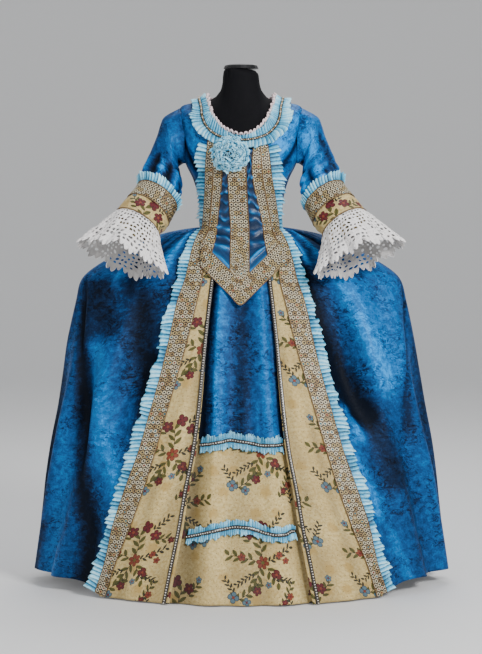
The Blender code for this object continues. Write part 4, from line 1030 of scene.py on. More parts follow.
# In this table and the next, the tone paints shade in the hollows and highlight on the ridges
frontFolds = (  # along 0 at the braid, 1 at the side seam; down in rings
    (((0.4, 0.6), (0.5, 2.6), (0.5, 4.2)), 0.3, 0.25, 0.001, 0.4, 1.0),
    (((0.95, 3.0), (0.74, 4.0), (0.52, 4.9), (0.42, 5.6)), 0.06, 0.07, -0.0026, -1.1, 1.0),
    (((0.6, 3.6), (0.4, 4.4), (0.3, 5.4)), 0.05, 0.05, 0.002, 0.5, 1.0),
    (((0.98, 4.2), (0.86, 5.4), (0.66, 6.6), (0.55, 7.6)), 0.07, 0.09, -0.0024, -0.9, 1.0),
    (((0.9, 6.0), (0.8, 7.4), (0.82, 9.4)), 0.1, 0.1, -0.001, -0.7, 1.2),
    (((0.3, 5.4), (0.34, 7.2), (0.36, 9.3)), 0.1, 0.1, 0.0012, 0.35, 1.0),
)
bodiceBackFolds = (
    (((0.12, 4.6), (0.17, 6.4), (0.22, 8.8)), 0.03, 0.04, -0.002, -0.8, 1.0),
    (((0.88, 4.6), (0.83, 6.4), (0.78, 8.8)), 0.04, 0.03, -0.002, -0.8, 1.0),
    (((0.3, 1.6), (0.36, 8.6)), 0.03, 0.03, 0.0012, 0.35, 1.0),
    (((0.68, 2.2), (0.64, 8.9)), 0.03, 0.03, 0.0012, 0.35, 1.0),
    (((0.49, 1.2), (0.5, 9.2)), 0.02, 0.02, -0.001, -0.45, 1.0),
)


def makeBodice():
    arm, side, armBack = bodiceColumn["arm"], bodiceColumn["side"], bodiceColumn["armBack"]
    edge, steps = bodiceColumn["edgeIn"], bodiceSewn["perColumn"]
    v = np.linspace(0, waistRing, waistRing * bodiceSewn["perRing"] + 1)[:, None]
    middleV = (v[:-1, 0] + v[1:, 0]) / 2
    atArm = ((middleV > shoulderRing) & (middleV < armpitRing))[:, None]
    for tag, sign in bothSides[::-1]:
        away = np.linspace(edge, side, (side - edge) * steps + 1)[::sign]
        along = ((away - edge) / (side - edge))[None, :]
        out, tone = foldShape(frontFolds, along, v + (bodiceSewn["rightLower"] if sign > 0 else 0.0))
        out = out * smooth(along / 0.25) * smooth((1 - along) / 0.08)
        middleU = (away[:-1] + away[1:]) / 2
        # the right front is painted lighter than the left, as light falling on that side; its folds carry
        # painted shade and highlight
        makeSheet("bodice_front_" + tag, bodice.place((bodiceMiddle + sign * away)[None, :], v, out), velvet,
                  "stretched", ["form_body"], keep=~((middleU > arm)[None, :] & atArm),
                  tone=tone + bodiceSewn["paintedLightRight" if sign > 0 else "paintedLightLeft"])
    wrapped = roundTheBack(bodice, bodiceMiddle, side)
    u = np.linspace(0, wrapped.lastColumn, wrapped.lastColumn * steps + 1)[None, :]
    out, tone = foldShape(bodiceBackFolds, u / wrapped.lastColumn, v)
    middleU = (u[0, :-1] + u[0, 1:]) / 2
    reach = armBack - side
    inHole = ((middleU < reach) | (middleU > wrapped.lastColumn - reach))[None, :] & atArm
    makeSheet("bodice_back", wrapped.place(u, v, out), velvet, "stretched", ["form_body"],
              keep=~inHole, tone=tone)


makeBodice()
print("bodice made")

# Satin front: ruched across, and drawn down to a point below the waist
satinFront = {"columns": 61, "rows": 170, "rise": 0.0058, "clearance": 0.0048, "tone": 1.9, "pointPaintedLight": 1.1}


def satinLine(ring, side, index):
    offset = satinOffsets(ring)[index]
    return side * offset + lean(ring["zFront"]) * (1 - (offset / ring["half"]) ** 2)


def onSkirtFront(x, z, out):
    places = np.linspace(0.0, skirt.lastRow - 0.01, 700)
    heights = skirt.at(skirtMiddle, places)[:, 2]
    v = float(np.interp(-z, -heights, places))
    columns = np.linspace(-6.0, 6.0, 240)
    line = skirt.at(skirtMiddle + columns, v)[:, 0]
    u = skirtMiddle + float(np.interp(x, line, columns))
    return skirt.place(np.array([u]), np.array([v]), np.array([out]))[0]


def pointPlace(c, share, band):
    waist = named(ringNames, ringRows[-1])
    start = satinLine(waist, 1 if c >= 0 else -1, abs(c))
    x = start * mix(1.0, 1.0 + 0.28 * float(smooth(abs(start) / 0.09)), share)
    low = gown["pointTipZ"] + gown["pointSlope"] * abs(x)
    high = min(low + gown["pointBand"], gown["waistZ"] - 0.012)
    z = mix(mix(gown["waistZ"] - 0.004, high, share), low, band)
    return onSkirtFront(x, z, satinFront["clearance"])


def satinSurface():
    edge = bodiceColumn["edgeIn"]
    rows = []
    for r in range(waistRing + 1):
        lift = 0.002 * float(smooth((r - 8.0) / 1.0))
        rows.append([bodice.place(np.array([bodiceMiddle + c]), np.array([float(r)]), np.array([lift]))[0]
                     for c in range(-edge, edge + 1)])
    for share in (0.35, 0.7, 1.0):
        rows.append([pointPlace(c, share, 0.0) for c in range(-edge, edge + 1)])
    rows.append([pointPlace(c, 1.0, 1.0) for c in range(-edge, edge + 1)])
    return Surface(rows)


satinBase = satinSurface()
satinMiddle = bodiceColumn["edgeIn"]
pointTop = satinBase.lastRow - 1


# Ruched folds for one side of the centre: uneven in height, some branching, fewer towards the point
def rucheFolds(away, down, seed):
    chance = np.random.default_rng(seed)
    total, place = np.zeros(np.broadcast(away, down).shape), 0.02
    while place < 1.02:
        size = chance.uniform(0.6, 1.15)
        slope, bend = chance.uniform(-0.01, 0.016), chance.uniform(-0.012, 0.012)
        line = place + slope * (away - 2.5) + bend * np.sin(1.9 * away + chance.uniform(0, 6))
        width = chance.uniform(0.011, 0.017)
        reach = 0.55 + 0.45 * np.sin(1.3 * away + chance.uniform(0, 6.28)) ** 2
        total = np.maximum(total, size * reach * np.exp(-((down - line) / width) ** 2))
        place += chance.uniform(0.042, 0.066) * (1.0 + 0.9 * place ** 3)
    return total


def makeSatin():
    u = np.linspace(0, satinBase.lastColumn, satinFront["columns"])[None, :]
    places, _ = satinBase.evenRows(satinMiddle - 2.5, satinFront["rows"])
    away = np.abs(u - satinMiddle)
    down = np.linspace(0, 1, satinFront["rows"])[:, None]
    folds = np.where(u < satinMiddle, rucheFolds(away, down, 11), rucheFolds(away, down, 12))
    shown = smooth((pointTop - 0.02 - places[:, None]) / 0.22)  # flat under the braid of the point
    shown = shown * smooth((away - 0.85) / 0.4) * smooth((4.35 - away) / 0.4)
    shown = shown * (1.0 - 0.2 * smooth((down - 0.85) / 0.12))
    # ruche ridges painted lighter and their hollows painted darker, and the satin painted lighter towards the
    # point
    tone = satinFront["tone"] * (folds - 0.45) * shown + satinFront["pointPaintedLight"] * smooth((down - 0.66) / 0.2)
    makeSheet("stomacher", satinBase.place(u, places[:, None], satinFront["rise"] * folds * shown), satin,
              "gathered", ["form_body"], tone=tone)


makeSatin()


# Cords: a round or flattened tube along each line, all joined in one piece
def makeCords(name, lines, wide, high, finish, sides=6):
    points, faces = [], []
    turns = np.arange(sides) * 2 * math.pi / sides
    for line, normals in lines:
        ahead = np.gradient(line, axis=0)
        across = np.cross(ahead, normals)
        across /= np.maximum(np.linalg.norm(across, axis=1, keepdims=True), 1e-9)
        base = len(points)
        for spot, way, up in zip(line, across, normals):
            points += [spot + way * wide * math.cos(t) + up * high * math.sin(t) for t in turns]
        for k in range(len(line) - 1):
            for s in range(sides):
                a, b = base + k * sides + s, base + k * sides + (s + 1) % sides
                faces.append((a, a + sides, b + sides, b))
        faces.append(tuple(base + s for s in range(sides)))
        faces.append(tuple(base + (len(line) - 1) * sides + s for s in range(sides))[::-1])
    joinPiece(name, np.array(points), faces, [finish])


def joinPiece(name, points, faces, finishes, kinds=None):
    mesh = bpy.data.meshes.new(name)
    mesh.from_pydata(points.tolist(), [], faces)
    mesh.shade_smooth()
    for finish in finishes:
        mesh.materials.append(finish)
    if kinds is not None:
        mesh.polygons.foreach_set("material_index", kinds)
    thing = linked(name, mesh)
    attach(thing, "root")
    print("joined", name, "faces", len(mesh.polygons))


def lineOn(surface, u, v, out):
    return surface.place(u, v, out), surface.normal(u, v)


# Gold braid: rows of raised rings; a twisted cord is sewn along each edge
braid = {"step": 0.0025, "rise": 0.0015, "onSatin": 0.0006, "onBraid": 0.0004,
         "cordWide": 0.0016, "cordHigh": 0.0013, "cordStep": 0.004, "cordLift": 0.0004}
cordLines = {"satin": [], "left": [], "right": []}


def braidRelief(across, along):
    pitch = braidLook["pitch"]
    row = np.floor(along / pitch)
    stagger = np.mod(np.abs(row), 2.0) * 0.5
    x = np.mod(across / pitch + stagger, 1.0) - 0.5
    y = np.mod(along / pitch, 1.0) - 0.5
    distance = np.sqrt(x * x + y * y)
    return braid["rise"] * np.exp(-((distance - 0.35) / 0.15) ** 2)


# A braid laid along a coarse strip; alongRows is false where it runs across the strip's columns
def makeBraid(name, surface, lift, restsOn, edges, vStart=0.0, vEnd=None, uStart=0.0, uEnd=None,
              alongRows=True):
    uEnd = surface.lastColumn if uEnd is None else uEnd
    vEnd = surface.lastRow if vEnd is None else vEnd
    middle = (uStart + uEnd) / 2
    length = surface.evenRows(middle, 12, vStart, vEnd)[1]
    places = surface.evenRows(middle, max(int(length / braid["step"]) + 1, 4), vStart, vEnd)[0]
    width = surface.evenColumns(places[len(places) // 2], 12, uStart, uEnd)[1]
    u = np.linspace(uStart, uEnd, max(int(width / braid["step"]) + 1, 6))[None, :]
    v = places[:, None]
    uv = cutPlaces(surface.at(u, v), False)
    if alongRows:
        uv[..., 0] -= uv[..., 0].min(axis=1, keepdims=True)
    else:  # this band is cut on the slope of the point, so its rings are set square to that
        slope, across, drop = math.atan(gown["pointSlope"]), uv[..., 0], uv[..., 1]
        uv = np.stack((drop * math.cos(slope), across + np.sign(across) * drop * math.sin(slope)), axis=-1)
        uv[..., 0] -= uv[..., 0].min()
    relief = braidRelief(uv[..., 0], uv[..., 1])
    makeSheet(name, surface.place(u, v, lift + relief), goldBraid, "laid", restsOn, uv=uv)
    rise = lift + braid["cordLift"]
    if alongRows:
        v = surface.evenRows(middle, max(int(length / braid["cordStep"]), 8), vStart, vEnd)[0]
        cordLines[edges] += [lineOn(surface, uStart + 0.02, v, rise), lineOn(surface, uEnd - 0.02, v, rise)]
    else:
        u = np.linspace(uStart, uEnd, 120)
        cordLines[edges] += [lineOn(surface, u, vStart, rise), lineOn(surface, u, vEnd - 0.01, rise)]


def edgeStrip(side, inner, outer, top, lift):
    rows = []
    stations = [(bodice, float(v)) for v in range(top, waistRing)] + [(bodice, waistRing - 0.25)]
    stations += [(skirt, 0.35)] + [(skirt, float(v)) for v in range(1, skirt.lastRow + 1)]
    for surface, v in stations:
        names = bodiceColumn if surface is bodice else skirtColumn
        middle = bodiceMiddle if surface is bodice else skirtMiddle
        first, last = names[inner], names[outer]
        places = middle + side * np.array([first, (first + last) / 2, last], float)
        extra = lift + (0.0007 if surface is bodice else 0.0)
        row = surface.place(places, v, extra).tolist()
        rows.append(row if side > 0 else row[::-1])
    return Surface(rows)


def makeBraids():
    edge, satinColumn = bodiceColumn["edgeIn"], bodiceColumn["satin"]
    lift = gown["trimLift"] + braid["onSatin"]
    satinBraids = (("centre", 1.0, edge - 1, edge + 1), ("stomacher_left", 0.5, 0, edge - satinColumn),
                   ("stomacher_right", 0.5, edge + satinColumn, 2 * edge))
    for name, top, left, right in satinBraids:
        makeBraid("braid_" + name, satinBase, lift, ["stomacher"], "satin", top, pointTop, left, right)
    makeBraid("braid_point", satinBase, lift + braid["onBraid"], ["stomacher"], "satin",
              pointTop + 0.02, pointTop + 1, 0, 2 * edge, alongRows=False)
    for tag, side in bothSides:
        strip = edgeStrip(side, "edgeIn", "edgeOut", 2, gown["trimLift"])
        makeBraid("braid_robe_" + tag, strip, 0.0003, ["bodice_front_" + tag, "overskirt_" + tag], tag)
    wide, high = braid["cordWide"], braid["cordHigh"]
    makeCords("cords_satin", cordLines["satin"], wide, high, cordDark)
    for tag, _ in bothSides:
        makeCords("cords_robe_" + tag, cordLines[tag], wide, high, cordDark)


makeBraids()
print("satin front and braids made")

# Petticoat: velvet above, flowered below, with two flowered panels beside it
petticoatSewn = {"joinPlace": 7.62, "joinGap": 0.005, "columns": 70, "rows": 90, "lowerRows": 70,
                 "panelColumns": 34, "panelRows": 150}
# In this table and the next, the tone paints shade in the hollows and highlight on the ridges
petticoatFolds = (  # along 0 at the left, 1 at the right; down 0 at the top, 1 at the hem
    (((0.04, 0.02), (0.05, 0.5), (0.1, 0.85), (0.14, 1.12)), 0.09, 0.06, -0.009, -1.4, 1.6),
    (((0.2, 0.08), (0.2, 0.5), (0.27, 0.85), (0.32, 1.12)), 0.035, 0.11, 0.006, 0.6, 1.0),
    (((0.5, 0.1), (0.49, 0.6), (0.53, 1.12)), 0.12, 0.11, -0.005, -0.42, 0.9),
    (((0.78, 0.12), (0.8, 0.6), (0.82, 1.12)), 0.1, 0.07, 0.006, 0.45, 1.0),
    (((0.66, 0.52), (0.64, 0.85)), 0.025, 0.03, 0.002, 0.25, 1.0),
    (((0.97, 0.06), (0.95, 0.6), (0.93, 1.12)), 0.035, 0.05, -0.006, -1.0, 1.3),
    (((0.38, 0.75), (0.4, 1.12)), 0.03, 0.04, -0.004, -0.3, 1.3),
    (((0.64, 0.78), (0.62, 1.12)), 0.04, 0.03, -0.004, -0.35, 1.3),
)
panelFoldsShown = (  # along 0 at the bead chain, 1 under the robe
    (((0.14, 0.2), (0.12, 0.6), (0.13, 1.12)), 0.05, 0.05, -0.0035, -0.45, 1.1),
    (((0.26, 0.25), (0.28, 1.12)), 0.06, 0.06, 0.0035, 0.25, 1.0),
    (((0.38, 0.45), (0.36, 1.12)), 0.04, 0.05, -0.003, -0.55, 1.1),
    (((0.16, 0.52), (0.32, 0.66)), 0.03, 0.03, 0.0016, 0.25, 1.0),
    (((0.12, 0.68), (0.26, 0.8)), 0.03, 0.03, -0.0016, -0.35, 1.0),
)


def petticoatSurface():
    rows = []
    for row in skirtRows:
        s = named(skirtNames, row)
        if s["z"] > 0.99:
            continue
        reach = foldReach(s["z"])
        inset = mix(0.0024, 0.014, float(smooth((0.97 - s["z"]) / 0.6)))
        half = s["bead"] + 0.01
        line = []
        for fold in panelFolds:
            point = sectionPoint(s, angleAtX(s, half * fold[0] + lean(s["z"])), s["z"])
            point.y += inset - fold[1] * reach
            line.append(point)
        rows.append(line)
    return Surface(rows)


petticoat = petticoatSurface()


def petticoatFold(along, v):
    out, tone = foldShape(petticoatFolds, along, v / petticoat.lastRow)
    return np.clip(out * smooth(along / 0.05) * smooth((1 - along) / 0.05), -0.009, 0.006) - 0.001, tone


def petticoatPart(name, finish, start, end, rowCount):
    along = np.linspace(0.0, 1.0, petticoatSewn["columns"])[None, :]
    v = petticoat.evenRows(petticoat.lastColumn / 2, rowCount, start, end)[0][:, None]
    out, tone = petticoatFold(along, v)
    makeSheet(name, petticoat.place(petticoat.lastColumn * along, v, out), finish, "gathered", ["form_body"],
              tone=tone)


def makePetticoat():
    join = petticoatSewn["joinPlace"]
    petticoatPart("petticoat_velvet", velvet, 0.0, join, petticoatSewn["rows"])
    petticoatPart("petticoat_brocade", brocade, join + petticoatSewn["joinGap"], petticoat.lastRow,
                  petticoatSewn["lowerRows"])
    first, last = skirtColumn["bead"], skirtColumn["seam"]
    for tag, sign in bothSides[::-1]:
        away = np.linspace(0.0, 1.0, petticoatSewn["panelColumns"])[::sign]
        places = skirt.evenRows(skirtMiddle + sign * 3, petticoatSewn["panelRows"], 2.0)[0]
        down = np.linspace(0.0, 1.0, len(places))[:, None]
        u = skirtMiddle + sign * mix(first, last, away)[None, :]
        out, tone = foldShape(panelFoldsShown, away[None, :], down)
        out = out * smooth((0.47 - away[None, :]) / 0.12)  # flat where the braid covers it
        makeSheet("panel_" + tag, skirt.place(u, places[:, None], out), brocade, "gathered", ["form_body"],
                  tone=tone)


makePetticoat()
print("petticoat made")


# Frills: knife pleats that open towards the free edge, each of its own size, reach, tilt and tone, painted
# darker in the groove and lighter on the crest and towards the free edge
frill = {
    "perPleat": 6, "robePleats": 120, "neckPleats": 92, "petticoatPleats": 64, "cuffPleats": 46,
    "robeDepth": 0.0095, "neckDepth": 0.0105, "petticoatDepth": 0.0074, "cuffDepth": 0.008,
    "waistFlat": 0.72, "waistReach": 0.035, "neckSplit": 0.48, "petticoatInset": 0.62,
    "petticoatRow": {"upper": 7.76, "lower": 10.05}, "petticoatReach": {"upper": 0.21, "lower": 0.2},
    "rootShadeEdgeLight": 0.45,
}
pleatSpans = ((0.35, 1.2), (-0.18, 0.16), (-1.0, 1.0), (-0.3, 0.3))  # size, reach, tilt, tone


def pleatWave(count, seed, closed=False):
    chance = np.random.default_rng(seed)
    perPleat = frill["perPleat"]
    part = (np.arange(count * perPleat + 1) / perPleat) % 1.0
    rise = np.where(part < 0.84, (part / 0.84) ** 0.75, (1.0 - part) / 0.16)[:-1]
    sizes, reach, tilt, tone = (np.repeat(chance.uniform(a, b, count), perPleat) for a, b in pleatSpans)
    slow = np.repeat(np.sin(np.arange(count) * 0.61 + seed) * np.sin(np.arange(count) * 0.23), perPleat)
    # The last list is the tone: painted highlight on each pleat's crest, painted shade in its groove, with a
    # random difference from pleat to pleat
    found = [rise * sizes * (1.0 + 0.3 * slow), reach + 0.12 * slow, tilt + 0.6 * slow,
             rise * 0.95 - 0.55 + tone + 0.3 * slow]
    if closed:
        return found
    return [np.append(values, values[-1]) for values in found]


def makeRobeFrill(tag, side):
    strip = edgeStrip(side, "edgeOut", "frill", 3, gown["trimLift"] - 0.001)
    count = frill["robePleats"]
    places, _ = strip.evenRows(1.0, count * frill["perPleat"] + 1)
    wave, reach, tilt, tone = (part[:, None] for part in pleatWave(count, 20 + side))
    across = np.linspace(0.0, 1.0, 8)[None, :]
    heights = strip.at(1.0, places)[:, 2]
    nearWaist = 1.0 - smooth(np.abs(heights - gown["waistZ"]) / frill["waistReach"])
    size = (frill["robeDepth"] * (1.0 - frill["waistFlat"] * nearWaist))[:, None]
    out = 0.0004 + size * wave * (0.2 + 0.8 * across)
    out = out + size * 0.16 * np.sin(19.0 * across + 7.0 * tilt) * across
    wide = across * (1.03 + reach * across)
    v = places[:, None] + 0.045 * tilt * across ** 2
    points = strip.place(2.0 * wide if side > 0 else 2.0 - 2.0 * wide, v, out)
    # painted shade at the frill's root and painted light towards its free edge
    tone = tone + frill["rootShadeEdgeLight"] * (across - 0.6)
    makeSheet("frill_robe_" + tag, points[:, ::side], iceSatin, "gathered",
              ["bodice_front_" + tag, "overskirt_" + tag], tone=tone[:, ::side])


def neckReach(angle):
    front = smooth(np.abs(np.cos(angle))) ** 2
    return mix(1.1, np.where(np.cos(angle) >= 0, 3.1, 2.2), front)


def neckAngles(u):
    foot = bodice.at(u, 1.0)
    return np.arctan2(foot[..., 0], -foot[..., 1])


# Two ruffles side by side that meet under the bead chain
def makeNeckFrill():
    count, split = frill["neckPleats"], frill["neckSplit"]
    u = bodice.evenColumns(1.0, count * frill["perPleat"] + 1)[0][:-1]
    reach = neckReach(neckAngles(u))[None, :]
    inner, outer = pleatWave(count, 31, True), pleatWave(count, 32, True)
    across = np.linspace(0.0, 1.0, 17)[:, None]
    wave, longer, tilt, tone = (np.where(across < split, a[None, :], b[None, :])
                                for a, b in zip(inner, outer))
    free = np.abs(across - split) / (1.0 - split)
    v = np.maximum(0.02 + (reach - 0.02) * (across + longer * (across - split) * 0.55), -0.14)
    out = 0.006 + frill["neckDepth"] * wave * free ** 0.7 - 0.0018 * (1 - free) ** 3
    points = bodice.place(u[None, :] + 0.07 * tilt * (across - split), v, out)
    # painted shade towards the bead chain where the two ruffles meet, painted light towards the free edges
    tone = tone * (0.4 + 0.6 * free) + 0.5 * (free - 0.5)
    makeSheet("frill_neck", points, iceSatin, "gathered", ["bodice_back"], closed=True, tone=tone)


frillSways = {  # share across, and how far down in rows of the petticoat
    "upper": ((0.0, 0.03), (0.16, 0.01), (0.34, -0.1), (0.52, -0.05), (0.7, 0.04), (0.9, 0.06), (1.0, 0.02)),
    "lower": ((0.0, 0.16), (0.15, 0.06), (0.28, -0.04), (0.42, -0.13), (0.54, -0.11), (0.68, 0.02),
              (0.8, 0.1), (0.9, 0.09), (0.95, -0.03), (1.0, 0.04)),
}


def swayLine(share, v, name):
    places, values = zip(*frillSways[name])
    share = np.asarray(share, float)
    return v + sum(np.interp(share + shift, places, values) for shift in (-0.03, 0.0, 0.03)) / 3.0


def makePetticoatFrill(name, seed):
    count = frill["petticoatPleats"]
    share = np.linspace(0.0, 1.0, count * frill["perPleat"] + 1)[None, :]
    u = mix(frill["petticoatInset"], petticoat.lastColumn - frill["petticoatInset"], share)
    upper, lower = pleatWave(count, seed), pleatWave(count, seed + 10)
    across = np.linspace(-1.0, 1.0, 13)[:, None]
    wave, longer, tilt, tone = (np.where(across < 0, a[None, :], b[None, :])
                                for a, b in zip(upper, lower))
    out = 0.0026 + frill["petticoatDepth"] * wave * np.abs(across) ** 0.7
    place = swayLine(share, frill["petticoatRow"][name], name)
    place = place + frill["petticoatReach"][name] * across * (1.0 + 1.1 * longer * np.abs(across))
    out = out + petticoatFold(u / petticoat.lastColumn, place)[0] * 0.8 + 0.0008
    points = petticoat.place(u + 0.05 * tilt * across, place, out)
    # painted shade along the bead chain, painted light towards the free edges
    makeSheet("frill_petticoat_" + name, points, iceSatin, "gathered", ["petticoat_brocade"],
              tone=tone * (0.3 + 0.7 * np.abs(across)) + 0.55 * (np.abs(across) - 0.6))


for tag, side in bothSides:
    makeRobeFrill(tag, side)
makeNeckFrill()
makePetticoatFrill("upper", 41)
makePetticoatFrill("lower", 42)
print("frills made")


# Sleeves and cuffs
def armValue(name, v):
    column = np.array([row[armNames.index(name)] for row in armRows], float)
    line = Surface([[(value, 0, 0), (value, 1, 0)] for value in column])
    return line.at(0.0, v)[..., 0]


def armPoints(v, turn, out=0.0, wide=None, deep=None):
    v, turn = np.broadcast_arrays(np.asarray(v, float), np.asarray(turn, float))
    tilt, pitch = np.radians(armValue("tilt", v)), np.radians(armValue("pitch", v))
    across = np.stack((np.cos(tilt), np.zeros_like(tilt), np.sin(tilt)), axis=-1)
    along = np.stack((np.sin(tilt) * np.cos(pitch), -np.sin(pitch), -np.cos(tilt) * np.cos(pitch)), axis=-1)
    deepWay = np.cross(across, along)
    centre = np.stack([armValue(name, v) for name in ("x", "y", "z")], axis=-1)
    wide = (armValue("wide", v) if wide is None else wide) + out
    deep = (armValue("deep", v) if deep is None else deep) + out
    return centre + across * (wide * np.cos(turn))[..., None] + deepWay * (deep * np.sin(turn))[..., None]


def toSide(points, side):
    if side > 0:
        return points
    turned = points[:, ::-1].copy()
    turned[..., 0] *= -1.0
    return turned


def armholeLoop():
    side, front, back = (bodiceMiddle + bodiceColumn[name] for name in ("side", "arm", "armBack"))
    corners = [(side, shoulderRing)] + [(back, r) for r in range(shoulderRing, armpitRing + 1)]
    corners += [(side, armpitRing)] + [(front, r) for r in range(armpitRing, shoulderRing - 1, -1)]
    points = [bodice.at(float(c), float(r)) for c, r in corners]
    loop = []
    for i, point in enumerate(points):
        loop += [point, (point + points[(i + 1) % len(points)]) / 2]
    return np.array(loop)


sleeveSewn = {"columns": 96, "rows": 76, "loose": 0.001, "crumple": 0.0024, "crumplePaintedShade": 0.35,
              "paintedLightRight": 0.36}
# The tones paint shade in the sleeve's hollows and highlight on its ridges
sleeveFolds = {  # along is the share of a turn, 0.75 in front; down 0 at the shoulder and 1 at the cuff
    "right": (
        (((0.8, 0.02), (0.75, 0.45)), 0.1, 0.08, 0.002, 0.45, 1.0),
        (((0.9, 0.1), (0.92, 0.45), (0.9, 1.12)), 0.03, 0.04, -0.005, -0.7, 1.2),
        (((0.57, 0.04), (0.58, 0.34), (0.66, 0.5)), 0.04, 0.03, -0.0055, -1.1, 1.0),
        (((0.62, 0.4), (0.64, 0.7), (0.61, 1.12)), 0.024, 0.03, 0.004, 0.55, 1.2),
        (((0.7, 0.46), (0.705, 0.8), (0.69, 1.12)), 0.016, 0.026, -0.005, -0.8, 1.4),
        (((0.79, 0.5), (0.78, 1.12)), 0.03, 0.026, 0.0042, 0.6, 1.1),
        (((0.85, 0.62), (0.84, 1.12)), 0.014, 0.02, -0.004, -0.65, 1.3),
        (((0.52, 0.5), (0.5, 1.12)), 0.024, 0.024, -0.0045, -0.7, 1.2),
        (((0.06, 0.1), (0.04, 1.12)), 0.04, 0.04, 0.003, 0.3, 1.0),
        (((0.17, 0.3), (0.2, 1.12)), 0.024, 0.034, -0.005, -0.7, 1.3),
        (((0.31, 0.25), (0.3, 1.12)), 0.04, 0.03, 0.004, 0.4, 1.1),
        (((0.41, 0.4), (0.39, 1.12)), 0.02, 0.028, -0.005, -0.7, 1.3),
    ),
    "left": (
        (((0.78, 0.02), (0.74, 0.4)), 0.1, 0.08, 0.002, 0.35, 1.0),
        (((0.57, 0.04), (0.6, 0.36), (0.68, 0.48)), 0.04, 0.034, -0.0055, -1.1, 1.0),
        (((0.66, 0.4), (0.67, 0.7), (0.65, 1.12)), 0.022, 0.028, 0.0045, 0.65, 1.1),
        (((0.735, 0.44), (0.73, 0.75), (0.72, 1.12)), 0.018, 0.028, -0.0055, -1.0, 1.5),
        (((0.82, 0.48), (0.8, 1.12)), 0.026, 0.022, 0.0048, 0.85, 1.1),
        (((0.88, 0.4), (0.87, 0.75), (0.88, 1.12)), 0.018, 0.03, -0.0055, -1.0, 1.4),
        (((0.96, 0.5), (0.95, 1.12)), 0.024, 0.024, 0.0035, 0.5, 1.0),
        (((0.6, 0.62), (0.59, 1.12)), 0.014, 0.018, -0.004, -0.8, 1.3),
        (((0.5, 0.3), (0.51, 1.12)), 0.034, 0.03, 0.0035, 0.35, 1.1),
        (((0.08, 0.3), (0.06, 1.12)), 0.026, 0.034, -0.0045, -0.6, 1.3),
        (((0.2, 0.12), (0.22, 1.12)), 0.04, 0.036, 0.0035, 0.35, 1.0),
        (((0.33, 0.35), (0.3, 1.12)), 0.02, 0.03, -0.005, -0.7, 1.3),
        (((0.42, 0.45), (0.41, 1.12)), 0.024, 0.02, 0.0035, 0.3, 1.1),
    ),
}


def makeSleeve(tag, side):
    turns = np.arange(20) * 2 * math.pi / 20
    rows = [armholeLoop() + np.array([0.0004, 0, 0])]
    for v, loose in ((1.0, 0), (1.5, 1), (2.0, 2), (3.0, 3), (4.0, 3), (4.992, 0)):
        rows.append(armPoints(v, turns, loose * sleeveSewn["loose"] * np.cos(5 * turns + 0.9)))
    surface = Surface(rows, closed=True)
    share = (np.arange(sleeveSewn["columns"]) / sleeveSewn["columns"])[None, :]
    places, _ = surface.evenRows(10.0, sleeveSewn["rows"])
    down = np.linspace(0, 1, len(places))[:, None]
    found = [foldShape(sleeveFolds[tag], share + shift, down) for shift in (-1.0, 0.0, 1.0)]
    out, tone = sum(part[0] for part in found), sum(part[1] for part in found)
    crumple = np.sin(down * 34.0 + 3.0 * np.sin(share * 12.56 + 1.0)) * smooth((down - 0.38) / 0.3)
    crumple = crumple * np.sin(share * 6.28 * 2 + 0.8) ** 2
    out = (out * smooth(down / 0.12) + sleeveSewn["crumple"] * crumple) * smooth((1.0 - down) / 0.05)
    # painted shade and highlight on the crumples, and the right sleeve painted lighter, as light falling on
    # that side
    tone = tone + sleeveSewn["crumplePaintedShade"] * crumple + (sleeveSewn["paintedLightRight"] if side > 0 else 0.0)
    points = surface.place(share * surface.lastColumn, places[:, None], out)
    makeSheet("sleeve_" + tag, toSide(points, side), velvet, "draped", ["bodice_front_" + tag], closed=True,
              tone=tone[:, ::side])


def tubeGrid(start, end, rowCount, columnCount, out):
    turn = (np.arange(columnCount) * 2 * math.pi / columnCount)[None, :]
    v = np.linspace(start, end, rowCount)[:, None]
    return armPoints(v, turn, out), turn, v


def cuffCord(v, out, side):
    turn = np.linspace(0, 2 * math.pi, 90)
    line, centre = armPoints(v, turn, out), armPoints(v, turn, -0.03)
    normals = (line - centre) / np.linalg.norm(line - centre, axis=1, keepdims=True)
    return (line * (side, 1, 1))[::side], (normals * (side, 1, 1))[::side]


cuff = {
    "columns": 168, "braidRows": 22, "bandColumns": 110, "bandRows": 20, "frillRows": 9,
    "braidLift": 0.001, "bandLift": 0.0012, "bandPuff": 0.003, "ripple": 0.001,
    "cordWide": 0.0016, "cordHigh": 0.0014, "flowerShift": (0.045, 0.068), "bandPaintedLight": 0.2,
    "ripplePaintedShade": 0.22,
}


def cuffBraid(tag, side):
    flat, _, _ = tubeGrid(sleeveEnd, braidEnd, cuff["braidRows"], cuff["columns"], cuff["braidLift"])
    uv = cutPlaces(flat, True)[..., ::-1]
    uv[..., 0] -= uv[..., 0].min()
    relief = cuff["braidLift"] + braidRelief(uv[:, :-1, 0], uv[:, :-1, 1])
    points, _, _ = tubeGrid(sleeveEnd, braidEnd, cuff["braidRows"], cuff["columns"], relief)
    makeSheet("cuff_braid_" + tag, toSide(points, side), goldBraid, "laid", ["sleeve_" + tag], closed=True,
              uv=uv[:, ::side])
    lines = [cuffCord(sleeveEnd + 0.03, 0.0022, side), cuffCord(braidEnd - 0.03, 0.0022, side),
             cuffCord(cuffEnd - 0.01, 0.003, side)]
    makeCords("cords_cuff_" + tag, lines, cuff["cordWide"], cuff["cordHigh"], cordDark)


